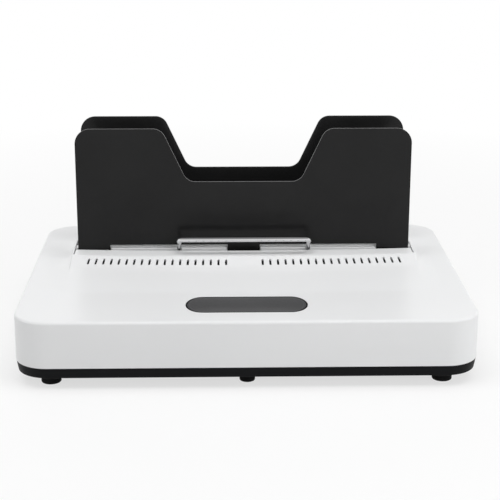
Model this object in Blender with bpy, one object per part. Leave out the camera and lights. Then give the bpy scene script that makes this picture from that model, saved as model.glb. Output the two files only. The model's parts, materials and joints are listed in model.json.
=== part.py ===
"""Desktop thermal binding machine, built as an assembly of separate named pieces.

Metres, +Z up, +X to the right of someone facing the front, -Y towards them. The origin
is on the surface that the machine stands on, under the middle of its casing. The rest
pose has the carriage fully forward, so the slot between the two plates is widest.
"""

import math

import bmesh
import bpy
from mathutils import Matrix, Vector

# Plates that hold the sheets; their width and pitch drive the rest of the machine
PLATE_WIDTH = 0.320
PLATE_PITCH = 0.0618
PLATE_THICKNESS = 0.0025
PLATE_TOP = 0.1898
PLATE_CORNER = 0.0145
PLATE_HALF = PLATE_WIDTH / 2
NOTCH_BOTTOM = 0.1383
NOTCH_TOP_INSET = 0.0819
NOTCH_BOTTOM_INSET = 0.1060
NOTCH_TOP_HALF = PLATE_HALF - NOTCH_TOP_INSET
NOTCH_BOTTOM_HALF = PLATE_HALF - NOTCH_BOTTOM_INSET
NOTCH_RADIUS = 0.0125
TAB_WIDTH = 0.0310
REAR_PLATE_DROP = 0.0580

# Casing
CASE_MARGIN = 0.0410
FRONT_REACH = 0.1785
REAR_REACH = 0.0617
CASE_WIDTH = PLATE_WIDTH + CASE_MARGIN * 2
CASE_DEPTH = FRONT_REACH + PLATE_PITCH + REAR_REACH
CASE_CORNER = 0.030
CASE_TOP = 0.061
CASE_WALL = 0.0025
CASE_FILLET = 0.0025
FOOT_HEIGHT = 0.010
BAND_HEIGHT = 0.0090
CASE_HALF = CASE_WIDTH / 2
CASE_FRONT = -CASE_DEPTH / 2
CASE_BACK = CASE_DEPTH / 2
FRONT_PLATE_FACE = CASE_FRONT + FRONT_REACH
FRONT_PLATE_BACK = FRONT_PLATE_FACE + PLATE_THICKNESS
REAR_PLATE_FACE = FRONT_PLATE_FACE + PLATE_PITCH
REAR_PLATE_BACK = REAR_PLATE_FACE + PLATE_THICKNESS

# Clearances
GAP = 0.0003
RUNNING_GAP = 0.00005
OVERRUN = 0.002
SCREW_PLAY = 0.0003

# Facets
CORNER_STEPS = 6
FILLET_STEPS = 3
SMALL_STEPS = 3
ROUND_STEPS = 20
SCREW_STEPS = 8
HUMP_STATIONS = 12

# Base tray
TRAY_INSET = 0.0026
TRAY_BEVEL = 0.0006
TRAY_FLOOR = 0.0025
TRAY_WALL = 0.0022
TONGUE_HEIGHT = 0.0040
TRAY_FLOOR_TOP = FOOT_HEIGHT + TRAY_FLOOR
SEAM_Z = FOOT_HEIGHT + BAND_HEIGHT
TRAY_SLOT_COUNT = 11
TRAY_SLOT_WIDTH = 0.0030
TRAY_SLOT_LENGTH = 0.0320
TRAY_SLOT_PITCH = 0.0160

# Feet
FOOT_RADIUS = 0.0090
FOOT_CENTRE_RADIUS = 0.0071
FOOT_TAPER = 0.0003
FOOT_ROUND = 0.0007
FOOT_SIDE_INSET = 0.0308
FOOT_END_INSET = 0.0205
FOOT_STEM_RADIUS = 0.0030
FOOT_BARB_RADIUS = 0.0036
FOOT_BARB_HEIGHT = 0.0028
FOOT_STEM_PLAY = 0.0002

# Screws
SHANK_RADIUS = 0.0015
HEAD_RADIUS = 0.0028
HEAD_HEIGHT = 0.0020
CROWN_SHARE = 0.7
SINK_DEPTH = HEAD_HEIGHT * CROWN_SHARE
SINK_RADIUS = 0.0033
BOARD_SCREW_LENGTH = 0.0050
PLATE_SCREW_LENGTH = 0.0080
CASE_SCREW_LENGTH = 0.0160
BOSS_RADIUS = 0.0042
CASE_BOSS_INSET = 0.0150
CASE_BOSS_RUN_SHARE = 0.42

# Slot round the plates, and the lip in front of it
WELL_SIDE_GAP = 0.0034
WELL_HALF = PLATE_HALF + WELL_SIDE_GAP
WELL_BACK = REAR_PLATE_BACK + GAP
SKIRT = 0.0022
LIP_SKIRT_BOTTOM = 0.0655
SKIRT_BOTTOM = 0.0570
LIP_SLIT_WIDTH = 0.0012
LIP_SLIT_LENGTH = 0.0150
LIP_HALF = WELL_HALF - LIP_SLIT_WIDTH
LIP_CLEARANCE = 0.0005
LIP_LENGTH = 0.0185
LIP_BOW = 0.0065
LIP_BACK = FRONT_PLATE_FACE - LIP_CLEARANCE - LIP_BOW

# Raised middle of the casing's top
HUMP_TOP = 0.0718
HUMP_EDGE = 0.0014
HUMP_SIDE = 0.0028
HUMP_HALF = WELL_HALF + HUMP_SIDE
STEEP_LENGTH = 0.0210
STEEP_TOP = LIP_BACK - LIP_LENGTH
STEEP_FOOT = STEEP_TOP - STEEP_LENGTH
STEEP_INSET_SHARE = 0.15
HUMP_BACK_RUN = 0.0160
HUMP_BACK_SLOPE = 0.0120
HUMP_BACK = WELL_BACK + HUMP_BACK_RUN

# Low swell that runs up to the lip
SWELL_RISE = 0.0045
SWELL_LENGTH = 0.0550
SWELL_CREST = 0.0020
SWELL_FALL = 0.0400
SWELL_FRONT = STEEP_FOOT - SWELL_LENGTH
SWELL_TOP = STEEP_TOP - SWELL_CREST
SWELL_BACK = SWELL_TOP + SWELL_FALL
SWELL_SIDE = 0.0240
SWELL_OUTSET = 0.0178
SWELL_HALF = HUMP_HALF + SWELL_OUTSET
SWELL_CORNER = 0.0380
SWELL_CORNER_SHIFT = 0.0260

# Slots in the steep face
VENT_COUNT = 19
VENT_PITCH = 0.00726
VENT_WIDTH = 0.0017
VENT_ROUND_SHARE = 0.45
VENT_LENGTH = 0.0096
VENT_INNER = 0.0170
VENT_SETBACK = 0.0035
VENT_FAN_RADIUS = 1.25

# Touch panel
PANEL_LENGTH = 0.1067
PANEL_DEPTH = 0.0418
PANEL_END = 0.0150
PANEL_SETBACK = 0.0449
PANEL_THICKNESS = 0.0012
PANEL_FLOOR = 0.0012
PANEL_END_STEPS = 8
PANEL_CENTRE = CASE_FRONT + PANEL_SETBACK
TAIL_WIDTH = 0.0200
TAIL_LENGTH = 0.0050
TAIL_THICKNESS = 0.0006

# Heater
HEAT_DROP = 0.0025
HEAT_TOP = CASE_TOP - HEAT_DROP
HEAT_THICKNESS = 0.0030
HEAT_END_GAP = 0.0134
HEAT_SIDE_GAP = 0.0008
HEAT_EDGE = 0.0006
HEAT_HALF = WELL_HALF - HEAT_END_GAP
ELEMENT_THICKNESS = 0.0015
ELEMENT_END_GAP = 0.0070
ELEMENT_HALF = HEAT_HALF - ELEMENT_END_GAP
ELEMENT_SIDE_GAP = 0.0080
CLAMP_THICKNESS = 0.0015
CLAMP_FOLD = 0.0060
HEAT_SCREW_SHARES = (-0.9, -0.35, 0.35, 0.9)
SPACER_RADIUS = 0.0040

# Carriage
CLOSED_SLOT = 0.0020
BAR_DEPTH = 0.0070
BAR_LIFT = 0.0015
BAR_HEIGHT = 0.0145
BAR_ROUND = 0.0015
BAR_FRONT = FRONT_PLATE_BACK + GAP
BAR_BACK = BAR_FRONT + BAR_DEPTH
BAR_BOTTOM = HEAT_TOP + BAR_LIFT
BAR_TOP = BAR_BOTTOM + BAR_HEIGHT
PLATE_BOTTOM_LIFT = 0.0015
PLATE_BOTTOM = BAR_TOP + PLATE_BOTTOM_LIFT
TAB_RAISE = 0.0020
TAB_BOTTOM = BAR_BOTTOM + TAB_RAISE
TAB_SCREW_Z = (BAR_BOTTOM + BAR_TOP) / 2 - BAR_ROUND
CARRIAGE_TRAVEL = PLATE_PITCH - PLATE_THICKNESS - GAP - BAR_DEPTH - CLOSED_SLOT
APRON_OVERLAP = 0.0100
APRON_LENGTH = CARRIAGE_TRAVEL + APRON_OVERLAP
APRON_THICKNESS = 0.0012
APRON_END_GAP = 0.0025
APRON_HALF = PLATE_HALF - APRON_END_GAP
LEDGE_DROP = 0.0019
LEDGE_END_GAP = 0.0008
LEDGE_INNER = TAB_WIDTH / 2 + LEDGE_END_GAP
LEDGE_OUTER = PLATE_HALF - TAB_WIDTH - LEDGE_END_GAP
ARM_WIDTH = 0.0070
ARM_DEPTH = 0.0080
ARM_END_GAP = 0.0010
BEARING_RADIUS = 0.0072
BEARING_LENGTH = 0.0200
BEARING_OUTSET = 0.0010
BUSH_WALL = 0.0015
BUSH_FLANGE = 0.0012
BUSH_FLANGE_HEIGHT = 0.0012
BEARING_MIDDLE = BAR_FRONT + BEARING_LENGTH / 2

# Guide rods
ROD_RADIUS = 0.0030
ROD_DROP = 0.0130
ROD_Z = SKIRT_BOTTOM - ROD_DROP
ROD_TIP_SHARE = 0.25
ROD_OVERHANG = 0.0015
ROD_X = WELL_HALF - ARM_END_GAP + BEARING_OUTSET
BRACKET_WIDTH = 0.0150
BRACKET_BASE = 0.0030
BRACKET_POST = 0.0060
BRACKET_END_PLAY = 0.0040
BRACKET_RISE = 0.0060
BRACKET_FOOT = 0.0120
ROD_FRONT = BAR_FRONT - BUSH_FLANGE_HEIGHT - BRACKET_END_PLAY - BRACKET_POST
ROD_BACK = (BAR_FRONT + BEARING_LENGTH + BUSH_FLANGE_HEIGHT + CARRIAGE_TRAVEL
            + BRACKET_END_PLAY + BRACKET_POST)

# Pull bar
WIRE_RADIUS = 0.00245
WIRE_INSET = 0.0980
WIRE_HALF = PLATE_HALF - WIRE_INSET
WIRE_BEND = 0.0040
WIRE_STAND = 0.0060
WIRE_LEG_Y = BAR_FRONT - WIRE_STAND
WIRE_SOCKET_RISE = 0.0072
WIRE_SOCKET_Z = BAR_BOTTOM + WIRE_SOCKET_RISE
WIRE_SOCKET_DEPTH = 0.0045
WIRE_LEAN = 0.0150
WIRE_RISE = 0.0120
WIRE_KNEE_RISE = 0.0030
WIRE_BEND_STEPS = 5
WIRE_SIDES = 2

# Heat trough
TROUGH_SHEET = 0.0010
TROUGH_END_GAP = 0.0015
TROUGH_HALF = HEAT_HALF + TROUGH_END_GAP
TROUGH_DEPTH = 0.0245
TROUGH_FLOOR = HEAT_TOP - TROUGH_DEPTH
TROUGH_FLANGE_DROP = 0.0017
TROUGH_FLANGE_Z = HEAT_TOP - TROUGH_FLANGE_DROP
TROUGH_FLANGE = 0.0213
TROUGH_REAR_DROP = 0.0035
TROUGH_REAR_TOP = HEAT_TOP - TROUGH_REAR_DROP
TROUGH_POST_SHARES = (-0.72, 0.72)
TROUGH_FRONT = BAR_BACK - TROUGH_SHEET
TROUGH_BACK = REAR_PLATE_FACE - GAP
TROUGH_FLANGE_FRONT = TROUGH_FRONT - TROUGH_FLANGE
POST_RADIUS = 0.0050
HEAT_FRONT = TROUGH_FRONT + TROUGH_SHEET + HEAT_SIDE_GAP
HEAT_BACK = TROUGH_BACK - HEAT_SIDE_GAP
HEAT_BOTTOM = HEAT_TOP - HEAT_THICKNESS
HEAT_MIDDLE = (HEAT_FRONT + HEAT_BACK) / 2
ELEMENT_DEPTH = HEAT_BACK - HEAT_FRONT - ELEMENT_SIDE_GAP * 2
ELEMENT_TOP = HEAT_BOTTOM - GAP
ELEMENT_BOTTOM = ELEMENT_TOP - ELEMENT_THICKNESS
CLAMP_TOP = ELEMENT_BOTTOM - GAP
CLAMP_BOTTOM = CLAMP_TOP - CLAMP_THICKNESS

# Thermostat, fuse and sensor under the heating plate
THERMOSTAT_RADIUS = 0.0080
THERMOSTAT_CAP = 0.0050
THERMOSTAT_BODY_RADIUS = 0.0066
THERMOSTAT_BODY = 0.0070
FUSE_RADIUS = 0.0020
FUSE_LENGTH = 0.0130
FUSE_CLIP = 0.0012
SENSOR_WIDTH = 0.0060
SENSOR_LENGTH = 0.0140
SENSOR_HEIGHT = 0.0030
SENSOR_ROUND_SHARE = 0.9
PROBE_SHARE = 0.2448
PROBE_OFFSET = ELEMENT_HALF * PROBE_SHARE

# Boards. A part's share of its board is its middle and its reach
BOARD_THICKNESS = 0.0016
BOARD_HOLE_INSET = 0.0045
CONTROL_WIDTH = 0.1300
CONTROL_DEPTH = 0.0440
CONTROL_DROP = 0.0050
CONTROL_TOP = CASE_TOP - CASE_WALL - CONTROL_DROP
CONTROL_PART_SHARES = ((-0.62, 0.16), (0.35, 0.12), (0.62, 0.2))
POWER_WIDTH = 0.1000
POWER_DEPTH = 0.0420
POWER_INSET = 0.0300
POWER_FRONT_GAP = 0.0040
POWER_STAND = 0.0060
POWER_LEFT = POWER_INSET - PLATE_HALF
POWER_FRONT = WELL_BACK + SKIRT + POWER_FRONT_GAP
POWER_PART_SHARES = ((0.24, 0.5, 0.294, 0.62, 0.5), (0.55, 0.55, 0.143, 0.4, 0.34),
                     (0.74, 0.34, 0.101, 0.24, 0.3), (0.6, 0.12, 0.21, 0.16, 0.2),
                     (0.78, 0.75, 0.084, 0.3, 0.24))

# Rear plate's screws, through the slot's back wall
REAR_SCREW_Z = (SKIRT_BOTTOM + LIP_SKIRT_BOTTOM) / 2
REAR_SCREW_SHARES = (-0.85, 0.0, 0.85)

# Rear wall: pocket, inlet and switch
POCKET_DEPTH = 0.0020
POCKET_WIDTH = 0.0760
POCKET_HEIGHT = 0.0275
POCKET_INSET = 0.0760
POCKET_CENTRE_X = CASE_HALF - POCKET_INSET
POCKET_RAISE = 0.0215
POCKET_CENTRE_Z = SEAM_Z + POCKET_RAISE
POCKET_CORNER = 0.0030
POCKET_FLOOR = CASE_BACK - POCKET_DEPTH
POCKET_INSIDE = POCKET_FLOOR - CASE_WALL
INLET_OFFSET = 0.0160
INLET_X = POCKET_CENTRE_X + INLET_OFFSET
INLET_WIDTH = 0.0270
INLET_HEIGHT = 0.0190
INLET_FLANGE = 0.0020
INLET_FLANGE_THICKNESS = 0.0017
INLET_LENGTH = 0.0220
SOCKET_WIDTH = 0.0236
SOCKET_HEIGHT = 0.0156
SOCKET_DEPTH = 0.0165
SOCKET_CHAMFER = 0.0045
PIN_LENGTH = 0.0110
PIN_TAIL_SHARE = 0.6
PIN_WIDTH = 0.0040
PIN_THICKNESS = 0.0020
PIN_SPACING = 0.0070
PIN_RAISE = 0.0020
SWITCH_OFFSET = 0.0200
SWITCH_X = POCKET_CENTRE_X - SWITCH_OFFSET
SWITCH_WIDTH = 0.0130
SWITCH_HEIGHT = 0.0190
SWITCH_LENGTH = 0.0150
SWITCH_WALL = 0.0016
ROCKER_TILT = math.radians(8)
ROCKER_FACE = 0.0050
ROCKER_GAP = 0.0008

# Colours
WHITE = (0.83, 0.84, 0.85)
BLACK = (0.012, 0.013, 0.015)
CHARCOAL = (0.030, 0.031, 0.031)
SLATE = (0.095, 0.095, 0.097)
STEEL = (0.62, 0.62, 0.63)
ALUMINIUM = (0.72, 0.73, 0.74)
BRASS = (0.72, 0.56, 0.28)
MICA = (0.55, 0.50, 0.40)
BOARD_GREEN = (0.03, 0.16, 0.07)
PHENOLIC = (0.06, 0.05, 0.05)

SMOOTH = math.radians(40)


def clear_scene():
    """Remove every object that the scene holds."""
    for item in list(bpy.data.objects):
        bpy.data.objects.remove(item, do_unlink=True)


def make_material(name, colour, roughness, metallic=0.0):
    """Return a Principled material of one colour."""
    material = bpy.data.materials.new(name)
    material.use_nodes = True
    shader = material.node_tree.nodes["Principled BSDF"]
    shader.inputs["Base Color"].default_value = (*colour, 1.0)
    shader.inputs["Roughness"].default_value = roughness
    shader.inputs["Metallic"].default_value = metallic
    material.diffuse_color = (*colour, 1.0)
    return material


def add_object(name, shape, material, origin=(0, 0, 0), parent=None, smooth_angle=None):
    """Turn a finished bmesh, drawn in world places, into a named object.

    The object's own origin is put at the given place, and it hangs on the parent empty
    when there is one.
    """
    bmesh.ops.recalc_face_normals(shape, faces=shape.faces)
    bmesh.ops.translate(shape, verts=shape.verts, vec=-Vector(origin))
    mesh = bpy.data.meshes.new(name)
    shape.to_mesh(mesh)
    shape.free()
    if smooth_angle is not None:
        mesh.shade_smooth()
        mesh.set_sharp_from_angle(angle=smooth_angle)
    if material is not None:
        mesh.materials.append(material)
    item = bpy.data.objects.new(name, mesh)
    bpy.context.scene.collection.objects.link(item)
    item.location = origin
    if parent is not None:
        item.parent = parent
        item.location = Vector(origin) - parent.location
    return item


def add_empty(name, place):
    """Return an empty that stands on a joint's axis."""
    item = bpy.data.objects.new(name, None)
    bpy.context.scene.collection.objects.link(item)
    item.location = place
    return item


def combine(target, name, shape, operation, solver='EXACT'):
    """Cut a shape out of an object, or join it on, with a live Boolean.

    The shape stays as a hidden guide that moves with its target. The other solver serves
    the few cuts whose result the exact one leaves open.
    """
    guide = add_object(name, shape, None)
    guide.hide_render = True
    guide.display_type = 'WIRE'
    if target.parent is not None:
        guide.parent = target.parent
        guide.location = -target.parent.location
    modifier = target.modifiers.new(name, 'BOOLEAN')
    modifier.operation = operation
    modifier.solver = solver
    modifier.object = guide


def cut(target, name, shape, solver='EXACT'):
    """Cut a shape out of an object."""
    combine(target, name, shape, 'DIFFERENCE', solver)


def join(target, name, shape):
    """Join a shape onto an object."""
    combine(target, name, shape, 'UNION')


def rounded_outline(corners, steps=SMALL_STEPS):
    """Return the points of an outline whose corners are (u, v, radius)."""
    points = []
    count = len(corners)
    for index, (u, v, radius) in enumerate(corners):
        here = Vector((u, v))
        if not radius:
            points.append(here)
            continue
        before = Vector(corners[index - 1][:2]) - here
        after = Vector(corners[(index + 1) % count][:2]) - here
        before.normalize()
        after.normalize()
        half = before.angle(after) / 2
        centre = here + (before + after).normalized() * (radius / math.sin(half))
        start = here + before * (radius / math.tan(half)) - centre
        end = here + after * (radius / math.tan(half)) - centre
        turn = start.angle_signed(end)
        for step in range(steps + 1):
            points.append(centre + Matrix.Rotation(-turn * step / steps, 2) @ start)
    return points


def rectangle_outline(u_low, u_high, v_low, v_high, radius=0.0, steps=SMALL_STEPS):
    """Return a rectangle's outline, with one radius at all its corners."""
    corners = ((u_low, v_low), (u_high, v_low), (u_high, v_high), (u_low, v_high))
    return rounded_outline([(u, v, radius) for u, v in corners], steps)


def loft(shape, rings, capped=True):
    """Skin a stack of rings of equal count, and close its two ends."""
    loops = [[shape.verts.new(point) for point in ring] for ring in rings]
    count = len(loops[0])
    for lower, upper in zip(loops, loops[1:]):
        for index in range(count):
            after = (index + 1) % count
            shape.faces.new((lower[index], lower[after], upper[after], upper[index]))
    if capped:
        shape.faces.new(reversed(loops[0]))
        shape.faces.new(loops[-1])


def along(axis, outline, place):
    """Lay a flat outline at a place on the X, Y or Z axis."""
    if axis == 'X':
        return [(place, u, v) for u, v in outline]
    if axis == 'Y':
        return [(u, place, v) for u, v in outline]
    return [(u, v, place) for u, v in outline]


def extrude(shape, axis, outline, start, end):
    """Add a straight prism with the given outline between two places on an axis."""
    loft(shape, [along(axis, outline, start), along(axis, outline, end)])


def block(shape, low, high):
    """Add a plain block between its lowest and highest corners."""
    outline = rectangle_outline(low[0], high[0], low[1], high[1])
    extrude(shape, 'Z', outline, low[2], high[2])


def turned(shape, axis, centre, profile, steps=ROUND_STEPS):
    """Add a turned solid whose profile is (place along the axis, radius)."""
    rings = []
    for place, radius in profile:
        if not radius:
            rings.append([shape.verts.new(on_axis(axis, centre, place, 0, 0))])
            continue
        ring = []
        for step in range(steps):
            angle = math.tau * step / steps
            across = radius * math.cos(angle)
            up = radius * math.sin(angle)
            ring.append(shape.verts.new(on_axis(axis, centre, place, across, up)))
        rings.append(ring)
    closed = rings[0:1] if len(rings[0]) > 1 else []
    for lower, upper in zip(rings, rings[1:] + closed):
        for step in range(steps):
            after = (step + 1) % steps
            corners = [lower[step % len(lower)], lower[after % len(lower)],
                       upper[after % len(upper)], upper[step % len(upper)]]
            shape.faces.new(list(dict.fromkeys(corners)))


def on_axis(axis, centre, place, across, up):
    """Return the point at a place along an axis line and two offsets from it."""
    x, y, z = centre
    if axis == 'X':
        return (x + place, y + across, z + up)
    if axis == 'Y':
        return (x + across, y + place, z + up)
    return (x + across, y + up, z + place)


def cylinder(shape, axis, centre, start, end, radius, steps=ROUND_STEPS):
    """Add a round bar between two places along an axis line."""
    turned(shape, axis, centre, ((start, 0), (start, radius), (end, radius), (end, 0)), steps)


def add_pan_screws(name, places, direction, length, material):
    """Add upright pan-head screws, each with the underside of its head at its place.

    The direction is 1 where the shanks run up and -1 where they run down.
    """
    top = -direction * HEAD_HEIGHT
    crown = top * CROWN_SHARE
    profile = ((top, 0), (top, HEAD_RADIUS * CROWN_SHARE), (crown, HEAD_RADIUS), (0, HEAD_RADIUS),
               (0, SHANK_RADIUS), (direction * length, SHANK_RADIUS), (direction * length, 0))
    for number, place in enumerate(places, start=1):
        shape = bmesh.new()
        turned(shape, 'Z', place, profile, SCREW_STEPS)
        add_object(f"{name}_{number}", shape, material, place, smooth_angle=SMOOTH)


def add_flat_screws(name, places, length, material, parent=None):
    """Add countersunk screws that lie flush at their places and run towards +Y."""
    depth = HEAD_RADIUS - SHANK_RADIUS
    profile = ((0, 0), (0, HEAD_RADIUS), (depth, SHANK_RADIUS), (length, SHANK_RADIUS), (length, 0))
    for number, place in enumerate(places, start=1):
        shape = bmesh.new()
        turned(shape, 'Y', place, profile, SCREW_STEPS)
        add_object(f"{name}_{number}", shape, material, place, parent, smooth_angle=SMOOTH)


def flat_screw_hole(shape, centre, length):
    """Add the countersunk hole that a flat screw lies in."""
    depth = HEAD_RADIUS - SHANK_RADIUS
    mouth = HEAD_RADIUS + SCREW_PLAY
    neck = SHANK_RADIUS + SCREW_PLAY
    profile = ((-OVERRUN, 0), (-OVERRUN, mouth), (0, mouth), (depth, neck),
               (length, neck), (length, 0))
    turned(shape, 'Y', centre, profile, SCREW_STEPS)


def case_ring(inset, height):
    """Return the casing's plan outline, drawn in by an inset, at a height."""
    outline = rectangle_outline(inset - CASE_HALF, CASE_HALF - inset, CASE_FRONT + inset,
                                CASE_BACK - inset, CASE_CORNER - inset, CORNER_STEPS)
    return along('Z', outline, height)


def bow(x):
    """Return how far the lip's arc lies behind its middle at a place across the machine."""
    return LIP_BOW * min(1.0, abs(x) / LIP_HALF) ** 2


def mirrored_stations(inner, outer):
    """Return even stations up to an inner half width, then the given outer ones, both ways."""
    middle = [inner * (2 * step / HUMP_STATIONS - 1) for step in range(HUMP_STATIONS + 1)]
    return [-x for x in reversed(outer)] + middle + list(outer)


def swell_solid(inset):
    """Return the low swell in front of the lip, fading out at its sides and behind.

    The inset lowers it by a wall, for its cavity.
    """
    flat = SWELL_HALF - SWELL_SIDE
    outer = [flat + SWELL_SIDE * step / CORNER_STEPS for step in range(1, CORNER_STEPS + 1)]
    base = CASE_TOP - CASE_WALL - OVERRUN / 2 - inset
    rings = []
    for x in mirrored_stations(flat, outer):
        fade = (1 + math.cos(math.pi * max(0.0, abs(x) - flat) / SWELL_SIDE)) / 2
        corner = max(0.0, abs(x) - SWELL_HALF + SWELL_CORNER) / SWELL_CORNER
        front = SWELL_FRONT + SWELL_CORNER_SHIFT * corner ** 2
        edge = CASE_TOP - GAP / 2 - inset
        crest = edge + GAP / 2 + SWELL_RISE * fade
        rings.append(along('X', [(front, base), (front, edge), (STEEP_FOOT, crest), (SWELL_TOP, crest),
                                 (SWELL_BACK, edge), (SWELL_BACK, base)], x))
    shape = bmesh.new()
    loft(shape, rings)
    return shape


def lip_profile(x, inset, drop):
    """Return the raised block's outline in Y and Z at a station across the machine.

    The inset draws it in by a wall, for its cavity. The drop lowers its top, down to the
    casing's top at most, for the slanted sides.
    """
    shift = bow(x)
    rise = HUMP_TOP - CASE_TOP - SWELL_RISE
    slope = rise / STEEP_LENGTH
    top = HUMP_TOP - inset - drop
    floor = CASE_TOP - GAP - inset
    base = CASE_TOP - CASE_WALL - OVERRUN / 2 - inset
    back = inset * STEEP_INSET_SHARE
    crest = STEEP_TOP + shift + back
    foot = crest - (HUMP_TOP - CASE_TOP) / slope
    ease = HUMP_EDGE * 2
    lowered = max(floor, top - ease * slope)
    top = max(floor, top)
    return [(foot, base), (foot, floor), (crest - ease, lowered), (crest + ease, top),
            (HUMP_BACK - back, top), (HUMP_BACK + HUMP_BACK_SLOPE - inset, floor),
            (HUMP_BACK + HUMP_BACK_SLOPE - inset, base)]


def lip_solid(inset):
    """Return the raised block with the vented face and the lip, as a loft of profiles."""
    half = HUMP_HALF - inset
    shoulder = half - HUMP_EDGE
    inner = shoulder - HUMP_EDGE
    fall = HUMP_TOP - CASE_TOP
    drops = {half: fall, -half: fall, shoulder: HUMP_EDGE, -shoulder: HUMP_EDGE}
    rings = []
    for x in mirrored_stations(inner, [shoulder, half]):
        rings.append(along('X', lip_profile(x, inset, drops.get(x, 0.0)), x))
    shape = bmesh.new()
    loft(shape, rings)
    return shape


def well_outline(margin, back, slit):
    """Return the slot's plan outline, grown by a margin, with its bowed front edge.

    The slit is how far the slot runs forward beside each end of the lip.
    """
    points = []
    for step in range(HUMP_STATIONS + 1):
        x = LIP_HALF * (2 * step / HUMP_STATIONS - 1)
        points.append((x, LIP_BACK - margin + bow(x)))
    side = WELL_HALF + margin
    slit_end = LIP_BACK + LIP_BOW - margin - slit
    right = [(LIP_HALF, slit_end), (side, slit_end), (side, back)]
    return points + right + [(-x, y) for x, y in reversed(right)]


def vent_places():
    """Return the place across the machine of each slot in the steep face."""
    places = []
    for side in (-1, 1):
        for index in range(VENT_COUNT):
            places.append(side * (VENT_INNER + index * VENT_PITCH))
    return places


def vent_outline(x):
    """Return a slot's plan outline; the slots fan out a little towards the front."""
    half_width, half_length = VENT_WIDTH / 2, VENT_LENGTH / 2
    middle = Vector((x, STEEP_TOP - VENT_SETBACK - half_length + bow(x)))
    turn = Matrix.Rotation(x / VENT_FAN_RADIUS, 2)
    straight = rectangle_outline(-half_width, half_width, -half_length, half_length,
                                 VENT_WIDTH * VENT_ROUND_SHARE, 1)
    return [tuple(middle + turn @ Vector(point)) for point in straight]


def case_boss_places():
    """Return the plan places of the screw bosses that hold casing and tray together."""
    across = CASE_HALF - CASE_BOSS_INSET
    run = CASE_DEPTH * CASE_BOSS_RUN_SHARE
    return [(side * across, end * run) for side in (-1, 1) for end in (-1, 1)]


def foot_places():
    """Return the name, plan place and radius of each foot."""
    across = CASE_HALF - FOOT_SIDE_INSET
    run = CASE_DEPTH / 2 - FOOT_END_INSET
    places = []
    for end, end_name in ((-1, "front"), (1, "rear")):
        places.append((f"foot_{end_name}_left", -across, end * run, FOOT_RADIUS))
        places.append((f"foot_{end_name}_centre", 0.0, end * run, FOOT_CENTRE_RADIUS))
        places.append((f"foot_{end_name}_right", across, end * run, FOOT_RADIUS))
    return places


def panel_outline(margin):
    """Return the touch panel's plan outline: straight sides and two elliptical ends."""
    straight = PANEL_LENGTH / 2 - PANEL_END
    points = []
    for side in (1, -1):
        for step in range(PANEL_END_STEPS + 1):
            angle = math.pi * (step / PANEL_END_STEPS - 0.5)
            x = side * (straight + (PANEL_END + margin) * math.cos(angle))
            y = PANEL_CENTRE + side * (PANEL_DEPTH / 2 + margin) * math.sin(angle)
            points.append((x, y))
    return points


def control_hole_places():
    """Return the plan places of the control board's screws."""
    across = CONTROL_WIDTH / 2 - BOARD_HOLE_INSET
    return [(side * across, PANEL_CENTRE) for side in (-1, 1)]


def pocket_outline(margin):
    """Return the rear pocket's outline in X and Z."""
    return rectangle_outline(POCKET_CENTRE_X - POCKET_WIDTH / 2 - margin,
                             POCKET_CENTRE_X + POCKET_WIDTH / 2 + margin,
                             POCKET_CENTRE_Z - POCKET_HEIGHT / 2 - margin,
                             POCKET_CENTRE_Z + POCKET_HEIGHT / 2 + margin,
                             POCKET_CORNER + margin)


def centred_outline(x, z, width, height, margin=0.0, radius=0.0):
    """Return a rectangle's outline in X and Z about a centre."""
    return rectangle_outline(x - width / 2 - margin, x + width / 2 + margin,
                             z - height / 2 - margin, z + height / 2 + margin, radius)


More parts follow.
